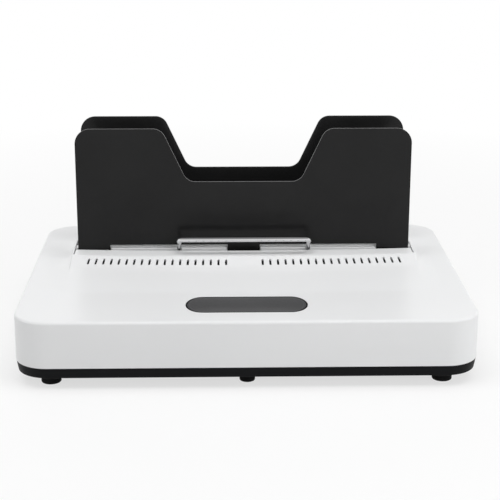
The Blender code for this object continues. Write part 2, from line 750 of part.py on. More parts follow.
def build_upper_housing(material):
    """Build the white moulded casing: a shell with the raised middle, slot and bosses."""
    shape = bmesh.new()
    ceiling = CASE_TOP - CASE_WALL
    rings = [case_ring(CASE_WALL + CASE_FILLET, ceiling),
             case_ring(CASE_WALL, ceiling - CASE_FILLET),
             case_ring(CASE_WALL, SEAM_Z + GAP), case_ring(0.0, SEAM_Z + GAP)]
    for step in range(FILLET_STEPS + 1):
        angle = math.pi / 2 * step / FILLET_STEPS
        inset = CASE_FILLET * (1 - math.cos(angle))
        height = CASE_TOP - CASE_FILLET * (1 - math.sin(angle))
        rings.append(case_ring(inset, height))
    loft(shape, rings)
    housing = add_object("upper_housing", shape, material, smooth_angle=SMOOTH)

    join(housing, "housing_swell", swell_solid(0.0))
    join(housing, "housing_lip", lip_solid(0.0))
    cut(housing, "housing_swell_cavity", swell_solid(CASE_WALL))
    cut(housing, "housing_lip_cavity", lip_solid(CASE_WALL))

    skirt = bmesh.new()
    extrude(skirt, 'Z', well_outline(SKIRT, WELL_BACK + SKIRT, LIP_SLIT_LENGTH), LIP_SKIRT_BOTTOM,
            HUMP_TOP - CASE_WALL / 2)
    join(housing, "housing_lip_skirt", skirt)
    side_skirt = bmesh.new()
    half = WELL_HALF + SKIRT
    block(side_skirt, (-half, FRONT_PLATE_BACK, SKIRT_BOTTOM),
          (half, WELL_BACK + SKIRT, LIP_SKIRT_BOTTOM + OVERRUN))
    join(housing, "housing_side_skirt", side_skirt)

    bosses = bmesh.new()
    boss_top = ceiling + CASE_WALL / 2
    for x, y in case_boss_places():
        cylinder(bosses, 'Z', (x, y, 0), TRAY_FLOOR_TOP + GAP, boss_top, BOSS_RADIUS, SCREW_STEPS)
    for x, y in control_hole_places():
        cylinder(bosses, 'Z', (x, y, 0), CONTROL_TOP + GAP, boss_top, HEAD_RADIUS, SCREW_STEPS)
    extrude(bosses, 'Y', pocket_outline(CASE_WALL), POCKET_INSIDE, CASE_BACK - CASE_WALL / 2)
    join(housing, "housing_bosses", bosses)

    panel_backing = bmesh.new()
    extrude(panel_backing, 'Z', panel_outline(CASE_WALL), ceiling - PANEL_FLOOR, boss_top)
    join(housing, "housing_panel_backing", panel_backing)

    well = bmesh.new()
    outline = well_outline(0.0, WELL_BACK, LIP_SLIT_LENGTH)
    extrude(well, 'Z', outline, SKIRT_BOTTOM - OVERRUN, HUMP_TOP + OVERRUN)
    cut(housing, "housing_well", well)

    vents = bmesh.new()
    for x in vent_places():
        extrude(vents, 'Z', vent_outline(x), ceiling - OVERRUN, HUMP_TOP + OVERRUN)
    cut(housing, "housing_vents", vents)

    recess = bmesh.new()
    extrude(recess, 'Z', panel_outline(GAP), CASE_TOP - PANEL_THICKNESS - GAP, CASE_TOP + OVERRUN)
    cut(housing, "housing_panel_recess", recess, 'MANIFOLD')
    openings = bmesh.new()
    tail_half_width = TAIL_WIDTH / 2 + GAP
    tail_half_depth = TAIL_THICKNESS / 2 + GAP
    block(openings,
          (-tail_half_width, PANEL_CENTRE - tail_half_depth, ceiling - PANEL_FLOOR - OVERRUN),
          (tail_half_width, PANEL_CENTRE + tail_half_depth, CASE_TOP - PANEL_THICKNESS + GAP))
    extrude(openings, 'Y',
            centred_outline(INLET_X, POCKET_CENTRE_Z, INLET_WIDTH, INLET_HEIGHT, GAP),
            POCKET_INSIDE - OVERRUN, CASE_BACK - POCKET_DEPTH / 2)
    extrude(openings, 'Y',
            centred_outline(SWITCH_X, POCKET_CENTRE_Z, SWITCH_WIDTH, SWITCH_HEIGHT, GAP),
            POCKET_INSIDE - OVERRUN, CASE_BACK - POCKET_DEPTH / 2)
    for x, y in case_boss_places():
        cylinder(openings, 'Z', (x, y, 0), FOOT_HEIGHT, FOOT_HEIGHT + CASE_SCREW_LENGTH + OVERRUN,
                 SHANK_RADIUS + SCREW_PLAY, SCREW_STEPS)
    for x, y in control_hole_places():
        cylinder(openings, 'Z', (x, y, 0), CONTROL_TOP - OVERRUN, CONTROL_TOP + BOARD_SCREW_LENGTH,
                 SHANK_RADIUS + SCREW_PLAY, SCREW_STEPS)
    for share in REAR_SCREW_SHARES:
        cylinder(openings, 'Y', (share * PLATE_HALF, 0, REAR_SCREW_Z), WELL_BACK - GAP / 2,
                 WELL_BACK + SKIRT + OVERRUN, SHANK_RADIUS + SCREW_PLAY, SCREW_STEPS)
    cut(housing, "housing_openings", openings, 'MANIFOLD')
    pocket = bmesh.new()
    extrude(pocket, 'Y', pocket_outline(0.0), POCKET_FLOOR, CASE_BACK + OVERRUN)
    cut(housing, "housing_pocket", pocket, 'MANIFOLD')
    return housing


def trough_post_places():
    """Return the plan places of the tray's posts under the heat trough."""
    return [(share * TROUGH_HALF, (TROUGH_FRONT + TROUGH_BACK) / 2) for share in TROUGH_POST_SHARES]


def power_hole_places():
    """Return the plan places of the power board's screws."""
    left = POWER_LEFT + BOARD_HOLE_INSET
    right = POWER_LEFT + POWER_WIDTH - BOARD_HOLE_INSET
    return [(x, POWER_FRONT + POWER_DEPTH / 2) for x in (left, right)]


def bracket_screw_places():
    """Return the plan places of the four screws that hold the rod brackets to the tray."""
    ends = (ROD_FRONT - BRACKET_FOOT / 2, ROD_BACK + BRACKET_FOOT / 2)
    return [(side * ROD_X, end) for side in (-1, 1) for end in ends]


def build_base_tray(material):
    """Build the black tray that closes the casing from below."""
    shape = bmesh.new()
    tongue = CASE_WALL + GAP
    inner = tongue + TRAY_WALL
    tongue_top = SEAM_Z + TONGUE_HEIGHT
    rings = [case_ring(TRAY_INSET + TRAY_BEVEL, FOOT_HEIGHT),
             case_ring(TRAY_INSET, FOOT_HEIGHT + TRAY_BEVEL), case_ring(TRAY_INSET, SEAM_Z),
             case_ring(tongue, SEAM_Z), case_ring(tongue, tongue_top),
             case_ring(inner, tongue_top), case_ring(inner, TRAY_FLOOR_TOP)]
    loft(shape, rings)
    tray = add_object("base_tray", shape, material, smooth_angle=SMOOTH)

    slots = bmesh.new()
    reach = TRAY_SLOT_LENGTH / 2
    for index in range(TRAY_SLOT_COUNT):
        x = (index - (TRAY_SLOT_COUNT - 1) / 2) * TRAY_SLOT_PITCH
        outline = rectangle_outline(x - TRAY_SLOT_WIDTH / 2, x + TRAY_SLOT_WIDTH / 2,
                                    HEAT_MIDDLE - reach, HEAT_MIDDLE + reach)
        extrude(slots, 'Z', outline, FOOT_HEIGHT - OVERRUN, TRAY_FLOOR_TOP + OVERRUN)
    cut(tray, "tray_slots", slots)

    floor_middle = FOOT_HEIGHT + TRAY_FLOOR / 2
    posts = bmesh.new()
    for x, y in trough_post_places():
        cylinder(posts, 'Z', (x, y, 0), floor_middle, TROUGH_FLOOR - GAP, POST_RADIUS, SCREW_STEPS)
    for x, y in power_hole_places():
        top = TRAY_FLOOR_TOP + POWER_STAND
        cylinder(posts, 'Z', (x, y, 0), floor_middle, top, HEAD_RADIUS, SCREW_STEPS)
    for x, y in bracket_screw_places():
        top = TRAY_FLOOR_TOP + BRACKET_BASE
        cylinder(posts, 'Z', (x, y, 0), floor_middle, top, BOSS_RADIUS, SCREW_STEPS)
    join(tray, "tray_posts", posts)

    holes = bmesh.new()
    hole = SHANK_RADIUS + SCREW_PLAY
    sink = SINK_RADIUS + SCREW_PLAY
    for x, y in case_boss_places():
        profile = ((-OVERRUN, 0), (-OVERRUN, sink), (SINK_DEPTH, sink), (SINK_DEPTH, hole),
                   (TRAY_FLOOR + OVERRUN, hole), (TRAY_FLOOR + OVERRUN, 0))
        turned(holes, 'Z', (x, y, FOOT_HEIGHT), profile, SCREW_STEPS)
    for x, y in trough_post_places():
        cylinder(holes, 'Z', (x, y, 0), TROUGH_FLOOR - PLATE_SCREW_LENGTH - OVERRUN,
                 TROUGH_FLOOR + OVERRUN, hole, SCREW_STEPS)
    for x, y in power_hole_places():
        top = TRAY_FLOOR_TOP + POWER_STAND
        cylinder(holes, 'Z', (x, y, 0), top - BOARD_SCREW_LENGTH, top + OVERRUN, hole, SCREW_STEPS)
    for x, y in bracket_screw_places():
        top = TRAY_FLOOR_TOP + BRACKET_BASE
        cylinder(holes, 'Z', (x, y, 0), top - BOARD_SCREW_LENGTH, top + OVERRUN, hole, SCREW_STEPS)
    for _, x, y, _ in foot_places():
        cylinder(holes, 'Z', (x, y, 0), FOOT_HEIGHT - OVERRUN, TRAY_FLOOR_TOP + OVERRUN,
                 FOOT_STEM_RADIUS + FOOT_STEM_PLAY)
    cut(tray, "tray_holes", holes)
    return tray


def build_feet(rubber):
    """Build the six rubber feet, each pushed into the tray by a barbed stem."""
    shoulder = FOOT_HEIGHT - GAP
    barb = TRAY_FLOOR_TOP + GAP
    for name, x, y, radius in foot_places():
        low = radius - FOOT_TAPER
        profile = ((0, 0), (0, low - FOOT_ROUND), (FOOT_ROUND, low), (shoulder, radius),
                   (shoulder, FOOT_STEM_RADIUS), (barb, FOOT_STEM_RADIUS), (barb, FOOT_BARB_RADIUS),
                   (barb + FOOT_BARB_HEIGHT, FOOT_STEM_RADIUS / 2), (barb + FOOT_BARB_HEIGHT, 0))
        shape = bmesh.new()
        turned(shape, 'Z', (x, y, 0), profile)
        add_object(name, shape, rubber, origin=(x, y, 0), smooth_angle=SMOOTH)


def build_case_screws(steel):
    """Build the screws that draw the tray and the casing together."""
    places = [(x, y, FOOT_HEIGHT + SINK_DEPTH - GAP) for x, y in case_boss_places()]
    add_pan_screws("housing_screw", places, 1, CASE_SCREW_LENGTH - SINK_DEPTH, steel)


def plate_top_corners():
    """Return the upper corners that both plates share, from the right to the left."""
    half = [(PLATE_HALF, PLATE_TOP, PLATE_CORNER), (NOTCH_TOP_HALF, PLATE_TOP, NOTCH_RADIUS),
            (NOTCH_BOTTOM_HALF, NOTCH_BOTTOM, NOTCH_RADIUS)]
    return half + [(-x, z, radius) for x, z, radius in reversed(half)]


def tab_centres():
    """Return the place across the machine of each of the front plate's tabs."""
    outer = PLATE_HALF - TAB_WIDTH / 2
    return (-outer, 0.0, outer)


def tab_screw_places():
    """Return the place of each screw in the front plate's tabs."""
    return [(x, FRONT_PLATE_FACE, TAB_SCREW_Z) for x in tab_centres()]


def build_front_plate(black_steel, steel, slide):
    """Build the front plate with its notch and three tabs, and its screws."""
    corners = []
    for centre in tab_centres():
        low, high = centre - TAB_WIDTH / 2, centre + TAB_WIDTH / 2
        if low > -PLATE_HALF:
            corners.append((low, PLATE_BOTTOM, 0))
        corners += [(low, TAB_BOTTOM, 0), (high, TAB_BOTTOM, 0)]
        if high < PLATE_HALF:
            corners.append((high, PLATE_BOTTOM, 0))
    outline = rounded_outline(corners + plate_top_corners(), CORNER_STEPS)
    shape = bmesh.new()
    extrude(shape, 'Y', outline, FRONT_PLATE_FACE, FRONT_PLATE_BACK)
    plate = add_object("front_plate", shape, black_steel, slide.location, slide, smooth_angle=SMOOTH)
    holes = bmesh.new()
    for place in tab_screw_places():
        flat_screw_hole(holes, place, PLATE_THICKNESS + OVERRUN)
    cut(plate, "front_plate_holes", holes)
    add_flat_screws("front_plate_screw", tab_screw_places(), PLATE_SCREW_LENGTH, steel, slide)


def build_rear_plate(black_steel, steel):
    """Build the fixed rear plate, which reaches down the slot's back wall, and its screws."""
    corners = [(-PLATE_HALF, REAR_PLATE_DROP, 0), (PLATE_HALF, REAR_PLATE_DROP, 0)]
    outline = rounded_outline(corners + plate_top_corners(), CORNER_STEPS)
    shape = bmesh.new()
    extrude(shape, 'Y', outline, REAR_PLATE_FACE, REAR_PLATE_BACK)
    plate = add_object("rear_plate", shape, black_steel, smooth_angle=SMOOTH)
    holes = bmesh.new()
    places = [(share * PLATE_HALF, REAR_PLATE_FACE, REAR_SCREW_Z) for share in REAR_SCREW_SHARES]
    for place in places:
        flat_screw_hole(holes, place, PLATE_THICKNESS + OVERRUN)
    cut(plate, "rear_plate_holes", holes)
    add_flat_screws("rear_plate_screw", places, PLATE_SCREW_LENGTH, steel)


def build_carriage(white, brass, slide):
    """Build the sliding carriage with its bar, ledges, apron and arms, and its two bushes."""
    apron_top = BAR_BOTTOM + APRON_THICKNESS
    profile = rounded_outline([(BAR_FRONT - APRON_LENGTH, BAR_BOTTOM, 0), (BAR_BACK, BAR_BOTTOM, 0),
                               (BAR_BACK, BAR_TOP, BAR_ROUND), (BAR_FRONT, BAR_TOP, BAR_ROUND),
                               (BAR_FRONT, apron_top, 0), (BAR_FRONT - APRON_LENGTH, apron_top, 0)])
    shape = bmesh.new()
    extrude(shape, 'X', profile, -APRON_HALF, APRON_HALF)
    carriage = add_object("carriage", shape, white, slide.location, slide, smooth_angle=SMOOTH)

    ledges = bmesh.new()
    for side in (-1, 1):
        x_low, x_high = sorted((side * LEDGE_INNER, side * LEDGE_OUTER))
        block(ledges, (x_low, FRONT_PLATE_FACE, BAR_BOTTOM + APRON_THICKNESS / 2),
              (x_high, BAR_FRONT + OVERRUN, BAR_TOP - LEDGE_DROP))
    join(carriage, "carriage_ledges", ledges)
    outer = WELL_HALF - ARM_END_GAP
    arms = bmesh.new()
    for side in (-1, 1):
        x_low, x_high = sorted((side * outer, side * (outer - ARM_WIDTH)))
        block(arms, (x_low, BAR_FRONT, ROD_Z), (x_high, BAR_FRONT + ARM_DEPTH, BAR_TOP - BAR_ROUND))
    join(carriage, "carriage_arms", arms)
    bearings = bmesh.new()
    bores = bmesh.new()
    bush_radius = ROD_RADIUS + RUNNING_GAP + BUSH_WALL
    for side, name in ((-1, "left"), (1, "right")):
        centre = (side * ROD_X, BEARING_MIDDLE, ROD_Z)
        half = BEARING_LENGTH / 2
        cylinder(bearings, 'Y', centre, -half, half, BEARING_RADIUS)
        cylinder(bores, 'Y', centre, -half - OVERRUN, half + OVERRUN, bush_radius + GAP)
        bush = bmesh.new()
        inner = ROD_RADIUS + RUNNING_GAP
        flange = bush_radius + BUSH_FLANGE
        turned(bush, 'Y', centre, ((-half - GAP - BUSH_FLANGE_HEIGHT, inner),
                                   (-half - GAP - BUSH_FLANGE_HEIGHT, flange), (-half - GAP, flange),
                                   (-half - GAP, bush_radius), (half, bush_radius), (half, inner)))
        add_object(f"carriage_bush_{name}", bush, brass, centre, slide, smooth_angle=SMOOTH)
    join(carriage, "carriage_bearings", bearings)
    cut(carriage, "carriage_bores", bores)

    sockets = bmesh.new()
    for side in (-1, 1):
        cylinder(sockets, 'Y', (side * WIRE_HALF, 0, WIRE_SOCKET_Z), FRONT_PLATE_FACE - OVERRUN / 2,
                 BAR_FRONT + WIRE_SOCKET_DEPTH + GAP, WIRE_RADIUS + GAP * 2, SCREW_STEPS)
    for place in tab_screw_places():
        cylinder(sockets, 'Y', place, PLATE_THICKNESS, PLATE_SCREW_LENGTH + GAP,
                 SHANK_RADIUS + SCREW_PLAY, SCREW_STEPS)
    cut(carriage, "carriage_sockets", sockets, 'MANIFOLD')


def bend_points(points, radius, steps):
    """Return a wire's path through the given corners, with round bends."""
    path = [points[0]]
    for before, here, after in zip(points, points[1:], points[2:]):
        into = (before - here).normalized()
        out = (after - here).normalized()
        half = into.angle(out) / 2
        centre = here + (into + out).normalized() * (radius / math.sin(half))
        start = (here + into * (radius / math.tan(half)) - centre).normalized()
        end = (here + out * (radius / math.tan(half)) - centre).normalized()
        for step in range(steps + 1):
            path.append(centre + start.slerp(end, step / steps) * radius)
    path.append(points[-1])
    return path


def build_pull_bar(chrome, slide):
    """Build the bent wire bar that the carriage is pulled by."""
    knee = WIRE_SOCKET_Z + WIRE_BEND + WIRE_KNEE_RISE
    half = []
    for side in (-1, 1):
        x = side * WIRE_HALF
        leg = [Vector((x, BAR_FRONT + WIRE_SOCKET_DEPTH, WIRE_SOCKET_Z)),
               Vector((x, WIRE_LEG_Y, WIRE_SOCKET_Z)), Vector((x, WIRE_LEG_Y, knee)),
               Vector((x, WIRE_LEG_Y - WIRE_LEAN, knee + WIRE_RISE))]
        half.append(leg)
    path = bend_points(half[0] + half[1][::-1], WIRE_BEND, WIRE_BEND_STEPS)
    curve = bpy.data.curves.new("pull_bar", 'CURVE')
    curve.dimensions = '3D'
    curve.bevel_depth = WIRE_RADIUS
    curve.bevel_resolution = WIRE_SIDES
    curve.use_fill_caps = True
    spline = curve.splines.new('POLY')
    spline.points.add(len(path) - 1)
    for point, place in zip(spline.points, path):
        point.co = (*(place - slide.location), 1.0)
    curve.materials.append(chrome)
    wire = bpy.data.objects.new("pull_bar", curve)
    bpy.context.scene.collection.objects.link(wire)
    wire.parent = slide


def build_guides(steel, bracket_finish, screw_steel):
    """Build the two guide rods, the brackets that hold them and the bracket screws."""
    for side, name in ((-1, "left"), (1, "right")):
        x = side * ROD_X
        rod = bmesh.new()
        start, end = ROD_FRONT - ROD_OVERHANG, ROD_BACK + ROD_OVERHANG
        tip = ROD_RADIUS * ROD_TIP_SHARE
        turned(rod, 'Y', (x, 0, ROD_Z), ((start, 0), (start, ROD_RADIUS - tip), (start + tip, ROD_RADIUS),
                                         (end - tip, ROD_RADIUS), (end, ROD_RADIUS - tip), (end, 0)))
        add_object(f"guide_rod_{name}", rod, steel, (x, 0, ROD_Z), smooth_angle=SMOOTH)

        base = TRAY_FLOOR_TOP + BRACKET_BASE + GAP
        base_top = base + BRACKET_BASE
        top = ROD_Z + BRACKET_RISE
        outline = rounded_outline([(ROD_FRONT - BRACKET_FOOT, base, 0), (ROD_BACK + BRACKET_FOOT, base, 0),
                                   (ROD_BACK + BRACKET_FOOT, base_top, 0), (ROD_BACK, base_top, 0),
                                   (ROD_BACK, top, 0), (ROD_BACK - BRACKET_POST, top, 0),
                                   (ROD_BACK - BRACKET_POST, base_top, BRACKET_BASE),
                                   (ROD_FRONT + BRACKET_POST, base_top, BRACKET_BASE),
                                   (ROD_FRONT + BRACKET_POST, top, 0), (ROD_FRONT, top, 0),
                                   (ROD_FRONT, base_top, 0), (ROD_FRONT - BRACKET_FOOT, base_top, 0)])
        shape = bmesh.new()
        extrude(shape, 'X', outline, x - BRACKET_WIDTH / 2, x + BRACKET_WIDTH / 2)
        bracket = add_object(f"rod_bracket_{name}", shape, bracket_finish, (x, 0, base),
                             smooth_angle=SMOOTH)
        holes = bmesh.new()
        cylinder(holes, 'Y', (x, 0, ROD_Z), ROD_FRONT - OVERRUN, ROD_BACK + OVERRUN,
                 ROD_RADIUS + RUNNING_GAP)
        for end_y in (ROD_FRONT - BRACKET_FOOT / 2, ROD_BACK + BRACKET_FOOT / 2):
            cylinder(holes, 'Z', (x, end_y, base), -OVERRUN / 2, BRACKET_BASE + OVERRUN,
                     SHANK_RADIUS + SCREW_PLAY, SCREW_STEPS)
        cut(bracket, f"bracket_holes_{name}", holes)
    head = TRAY_FLOOR_TOP + BRACKET_BASE + GAP + BRACKET_BASE + GAP
    places = [(x, y, head) for x, y in bracket_screw_places()]
    length = BRACKET_BASE + GAP * 2 + BOARD_SCREW_LENGTH - OVERRUN
    add_pan_screws("bracket_screw", places, -1, length, screw_steel)


def heat_screw_places():
    """Return the place across the machine of each screw that holds the heater stack."""
    return [share * ELEMENT_HALF for share in HEAT_SCREW_SHARES]


def build_heater(materials):
    """Build the heat trough, the heating plate, its element, its clamp and their screws."""
    sheet = TROUGH_SHEET
    flange_top = TROUGH_FLANGE_Z + sheet
    floor_top = TROUGH_FLOOR + sheet
    outline = rounded_outline([
        (TROUGH_FLANGE_FRONT, TROUGH_FLANGE_Z, 0), (TROUGH_FRONT, TROUGH_FLANGE_Z, 0),
        (TROUGH_FRONT, TROUGH_FLOOR, 0), (TROUGH_BACK, TROUGH_FLOOR, 0), (TROUGH_BACK, TROUGH_REAR_TOP, 0),
        (TROUGH_BACK - sheet, TROUGH_REAR_TOP, 0), (TROUGH_BACK - sheet, floor_top, 0),
        (TROUGH_FRONT + sheet, floor_top, 0), (TROUGH_FRONT + sheet, flange_top, 0),
        (TROUGH_FLANGE_FRONT, flange_top, 0)])
    shape = bmesh.new()
    extrude(shape, 'X', outline, -TROUGH_HALF, TROUGH_HALF)
    trough = add_object("heat_trough", shape, materials["zinc"])
    holes = bmesh.new()
    stand_offs = bmesh.new()
    hole = SHANK_RADIUS + SCREW_PLAY
    for x in heat_screw_places():
        cylinder(stand_offs, 'Z', (x, HEAT_MIDDLE, 0), TROUGH_FLOOR + sheet / 2, CLAMP_BOTTOM - GAP,
                 SPACER_RADIUS, SCREW_STEPS)
        cylinder(holes, 'Z', (x, HEAT_MIDDLE, 0), TROUGH_FLOOR - OVERRUN, CLAMP_BOTTOM + OVERRUN,
                 hole, SCREW_STEPS)
    join(trough, "trough_stand_offs", stand_offs)
    for x, y in trough_post_places():
        cylinder(holes, 'Z', (x, y, 0), TROUGH_FLOOR - OVERRUN, floor_top + OVERRUN, hole, SCREW_STEPS)
    cut(trough, "trough_holes", holes)
    places = [(x, y, floor_top + GAP) for x, y in trough_post_places()]
    add_pan_screws("trough_screw", places, -1, PLATE_SCREW_LENGTH, materials["steel"])

    plate = bmesh.new()
    edge = HEAT_EDGE
    section = [(HEAT_FRONT, HEAT_BOTTOM, 0), (HEAT_BACK, HEAT_BOTTOM, 0), (HEAT_BACK, HEAT_TOP, edge),
               (HEAT_FRONT, HEAT_TOP, edge)]
    extrude(plate, 'X', rounded_outline(section), -HEAT_HALF, HEAT_HALF)
    heating_plate = add_object("heating_plate", plate, materials["aluminium"])

    element = bmesh.new()
    half = ELEMENT_DEPTH / 2
    block(element, (-ELEMENT_HALF, HEAT_MIDDLE - half, ELEMENT_BOTTOM),
          (ELEMENT_HALF, HEAT_MIDDLE + half, ELEMENT_TOP))
    heating_element = add_object("heating_element", element, materials["mica"])

    clamp = bmesh.new()
    fold_bottom = CLAMP_BOTTOM - CLAMP_FOLD
    thick = CLAMP_THICKNESS
    front, back = HEAT_MIDDLE - half, HEAT_MIDDLE + half
    section = [(front, fold_bottom, 0), (front + thick, fold_bottom, 0), (front + thick, CLAMP_BOTTOM, 0),
               (back - thick, CLAMP_BOTTOM, 0), (back - thick, fold_bottom, 0), (back, fold_bottom, 0),
               (back, CLAMP_TOP, 0), (front, CLAMP_TOP, 0)]
    extrude(clamp, 'X', rounded_outline(section), -ELEMENT_HALF, ELEMENT_HALF)
    element_clamp = add_object("element_clamp", clamp, materials["zinc"])

    stack_holes = {"plate": bmesh.new(), "element": bmesh.new(), "clamp": bmesh.new()}
    screw_top = HEAT_BOTTOM + HEAT_THICKNESS / 2
    for x in heat_screw_places():
        centre = (x, HEAT_MIDDLE, 0)
        cylinder(stack_holes["plate"], 'Z', centre, HEAT_BOTTOM - OVERRUN, screw_top + GAP,
                 hole, SCREW_STEPS)
        cylinder(stack_holes["element"], 'Z', centre, ELEMENT_BOTTOM - OVERRUN, ELEMENT_TOP + OVERRUN,
                 hole, SCREW_STEPS)
        cylinder(stack_holes["clamp"], 'Z', centre, CLAMP_BOTTOM - OVERRUN, CLAMP_TOP + OVERRUN,
                 hole, SCREW_STEPS)
    cut(heating_plate, "heating_plate_holes", stack_holes["plate"])
    cut(heating_element, "element_holes", stack_holes["element"])
    cut(element_clamp, "clamp_holes", stack_holes["clamp"])
    head = TROUGH_FLOOR - GAP
    places = [(x, HEAT_MIDDLE, head) for x in heat_screw_places()]
    add_pan_screws("heater_screw", places, 1, screw_top - head, materials["steel"])


def build_heat_controls(materials):
    """Build the thermostat, the thermal fuse and the temperature sensor under the clamp."""
    top = CLAMP_BOTTOM - GAP
    thermostat = bmesh.new()
    body_top = -THERMOSTAT_CAP
    body_bottom = body_top - THERMOSTAT_BODY
    turned(thermostat, 'Z', (0, HEAT_MIDDLE, top),
           ((0, 0), (0, THERMOSTAT_RADIUS), (body_top, THERMOSTAT_RADIUS),
            (body_top, THERMOSTAT_BODY_RADIUS), (body_bottom, THERMOSTAT_BODY_RADIUS),
            (body_bottom, 0)))
    add_object("thermostat", thermostat, materials["phenolic"], (0, HEAT_MIDDLE, top),
               smooth_angle=SMOOTH)

    fuse = bmesh.new()
    cylinder(fuse, 'X', (PROBE_OFFSET, HEAT_MIDDLE, top - FUSE_RADIUS - FUSE_CLIP), -FUSE_LENGTH / 2,
             FUSE_LENGTH / 2, FUSE_RADIUS, SCREW_STEPS)
    thermal_fuse = add_object("thermal_fuse", fuse, materials["brass"], smooth_angle=SMOOTH)
    clip = bmesh.new()
    clip_half = FUSE_LENGTH / 4
    clip_reach = FUSE_RADIUS + FUSE_CLIP
    block(clip, (PROBE_OFFSET - clip_half, HEAT_MIDDLE - clip_reach, top - clip_reach),
          (PROBE_OFFSET + clip_half, HEAT_MIDDLE + clip_reach, top))
    join(thermal_fuse, "fuse_clip", clip)

    sensor = bmesh.new()
    width = SENSOR_WIDTH / 2
    outline = rectangle_outline(-PROBE_OFFSET - SENSOR_LENGTH / 2, -PROBE_OFFSET + SENSOR_LENGTH / 2,
                                HEAT_MIDDLE - width, HEAT_MIDDLE + width, width * SENSOR_ROUND_SHARE)
    extrude(sensor, 'Z', outline, top - SENSOR_HEIGHT, top)
    add_object("temperature_sensor", sensor, materials["steel"], smooth_angle=SMOOTH)


def build_touch_panel(material):
    """Build the touch panel with the flat tail that runs down to its board."""
    shape = bmesh.new()
    bottom = CASE_TOP - PANEL_THICKNESS
    extrude(shape, 'Z', panel_outline(0.0), bottom, CASE_TOP - GAP / 3)
    panel = add_object("touch_panel", shape, material, (0, PANEL_CENTRE, CASE_TOP), smooth_angle=SMOOTH)
    tail = bmesh.new()
    block(tail, (-TAIL_WIDTH / 2, PANEL_CENTRE - TAIL_THICKNESS / 2, bottom - TAIL_LENGTH),
          (TAIL_WIDTH / 2, PANEL_CENTRE + TAIL_THICKNESS / 2, bottom + PANEL_THICKNESS / 2))
    join(panel, "panel_tail", tail)


def build_boards(materials):
    """Build the control board under the panel and the power board on the tray."""
    control = bmesh.new()
    half_width, half_depth = CONTROL_WIDTH / 2, CONTROL_DEPTH / 2
    bottom = CONTROL_TOP - BOARD_THICKNESS
    block(control, (-half_width, PANEL_CENTRE - half_depth, bottom),
          (half_width, PANEL_CENTRE + half_depth, CONTROL_TOP))
    control_board = add_object("control_board", control, materials["board"])
    parts = bmesh.new()
    for share, size in CONTROL_PART_SHARES:
        x = share * half_width
        reach = size * half_depth
        block(parts, (x - reach, PANEL_CENTRE - reach, bottom - reach),
              (x + reach, PANEL_CENTRE + reach, CONTROL_TOP - GAP))
    join(control_board, "control_parts", parts)
    hole = SHANK_RADIUS + SCREW_PLAY
    holes = bmesh.new()
    for x, y in control_hole_places():
        cylinder(holes, 'Z', (x, y, 0), bottom - OVERRUN, CONTROL_TOP + OVERRUN, hole, SCREW_STEPS)
    cut(control_board, "control_holes", holes)
    places = [(x, y, bottom - GAP) for x, y in control_hole_places()]
    add_pan_screws("control_board_screw", places, 1, BOARD_SCREW_LENGTH, materials["steel"])

    low = TRAY_FLOOR_TOP + POWER_STAND + GAP
    high = low + BOARD_THICKNESS
    power = bmesh.new()
    block(power, (POWER_LEFT, POWER_FRONT, low),
          (POWER_LEFT + POWER_WIDTH, POWER_FRONT + POWER_DEPTH, high))
    power_board = add_object("power_board", power, materials["board"])
    parts = bmesh.new()
    for x_share, y_share, width, depth, height in POWER_PART_SHARES:
        x = POWER_LEFT + x_share * POWER_WIDTH
        y = POWER_FRONT + y_share * POWER_DEPTH
        block(parts, (x - width * POWER_WIDTH / 2, y - depth * POWER_DEPTH / 2, low + GAP),
              (x + width * POWER_WIDTH / 2, y + depth * POWER_DEPTH / 2, high + height * POWER_DEPTH))
    join(power_board, "power_parts", parts)
    holes = bmesh.new()
    for x, y in power_hole_places():
        cylinder(holes, 'Z', (x, y, 0), low - OVERRUN, high + OVERRUN, hole, SCREW_STEPS)
    cut(power_board, "power_holes", holes)
    places = [(x, y, high + GAP) for x, y in power_hole_places()]
    add_pan_screws("power_board_screw", places, -1, BOARD_SCREW_LENGTH, materials["steel"])


def socket_outline():
    """Return the inlet's six-sided socket outline, with its two cut corners on top."""
    left, right = INLET_X - SOCKET_WIDTH / 2, INLET_X + SOCKET_WIDTH / 2
    low = POCKET_CENTRE_Z - SOCKET_HEIGHT / 2
    high = POCKET_CENTRE_Z + SOCKET_HEIGHT / 2
    slope = SOCKET_CHAMFER
    return [(left, low), (right, low), (right, high - slope), (right - slope, high),
            (left + slope, high), (left, high - slope)]


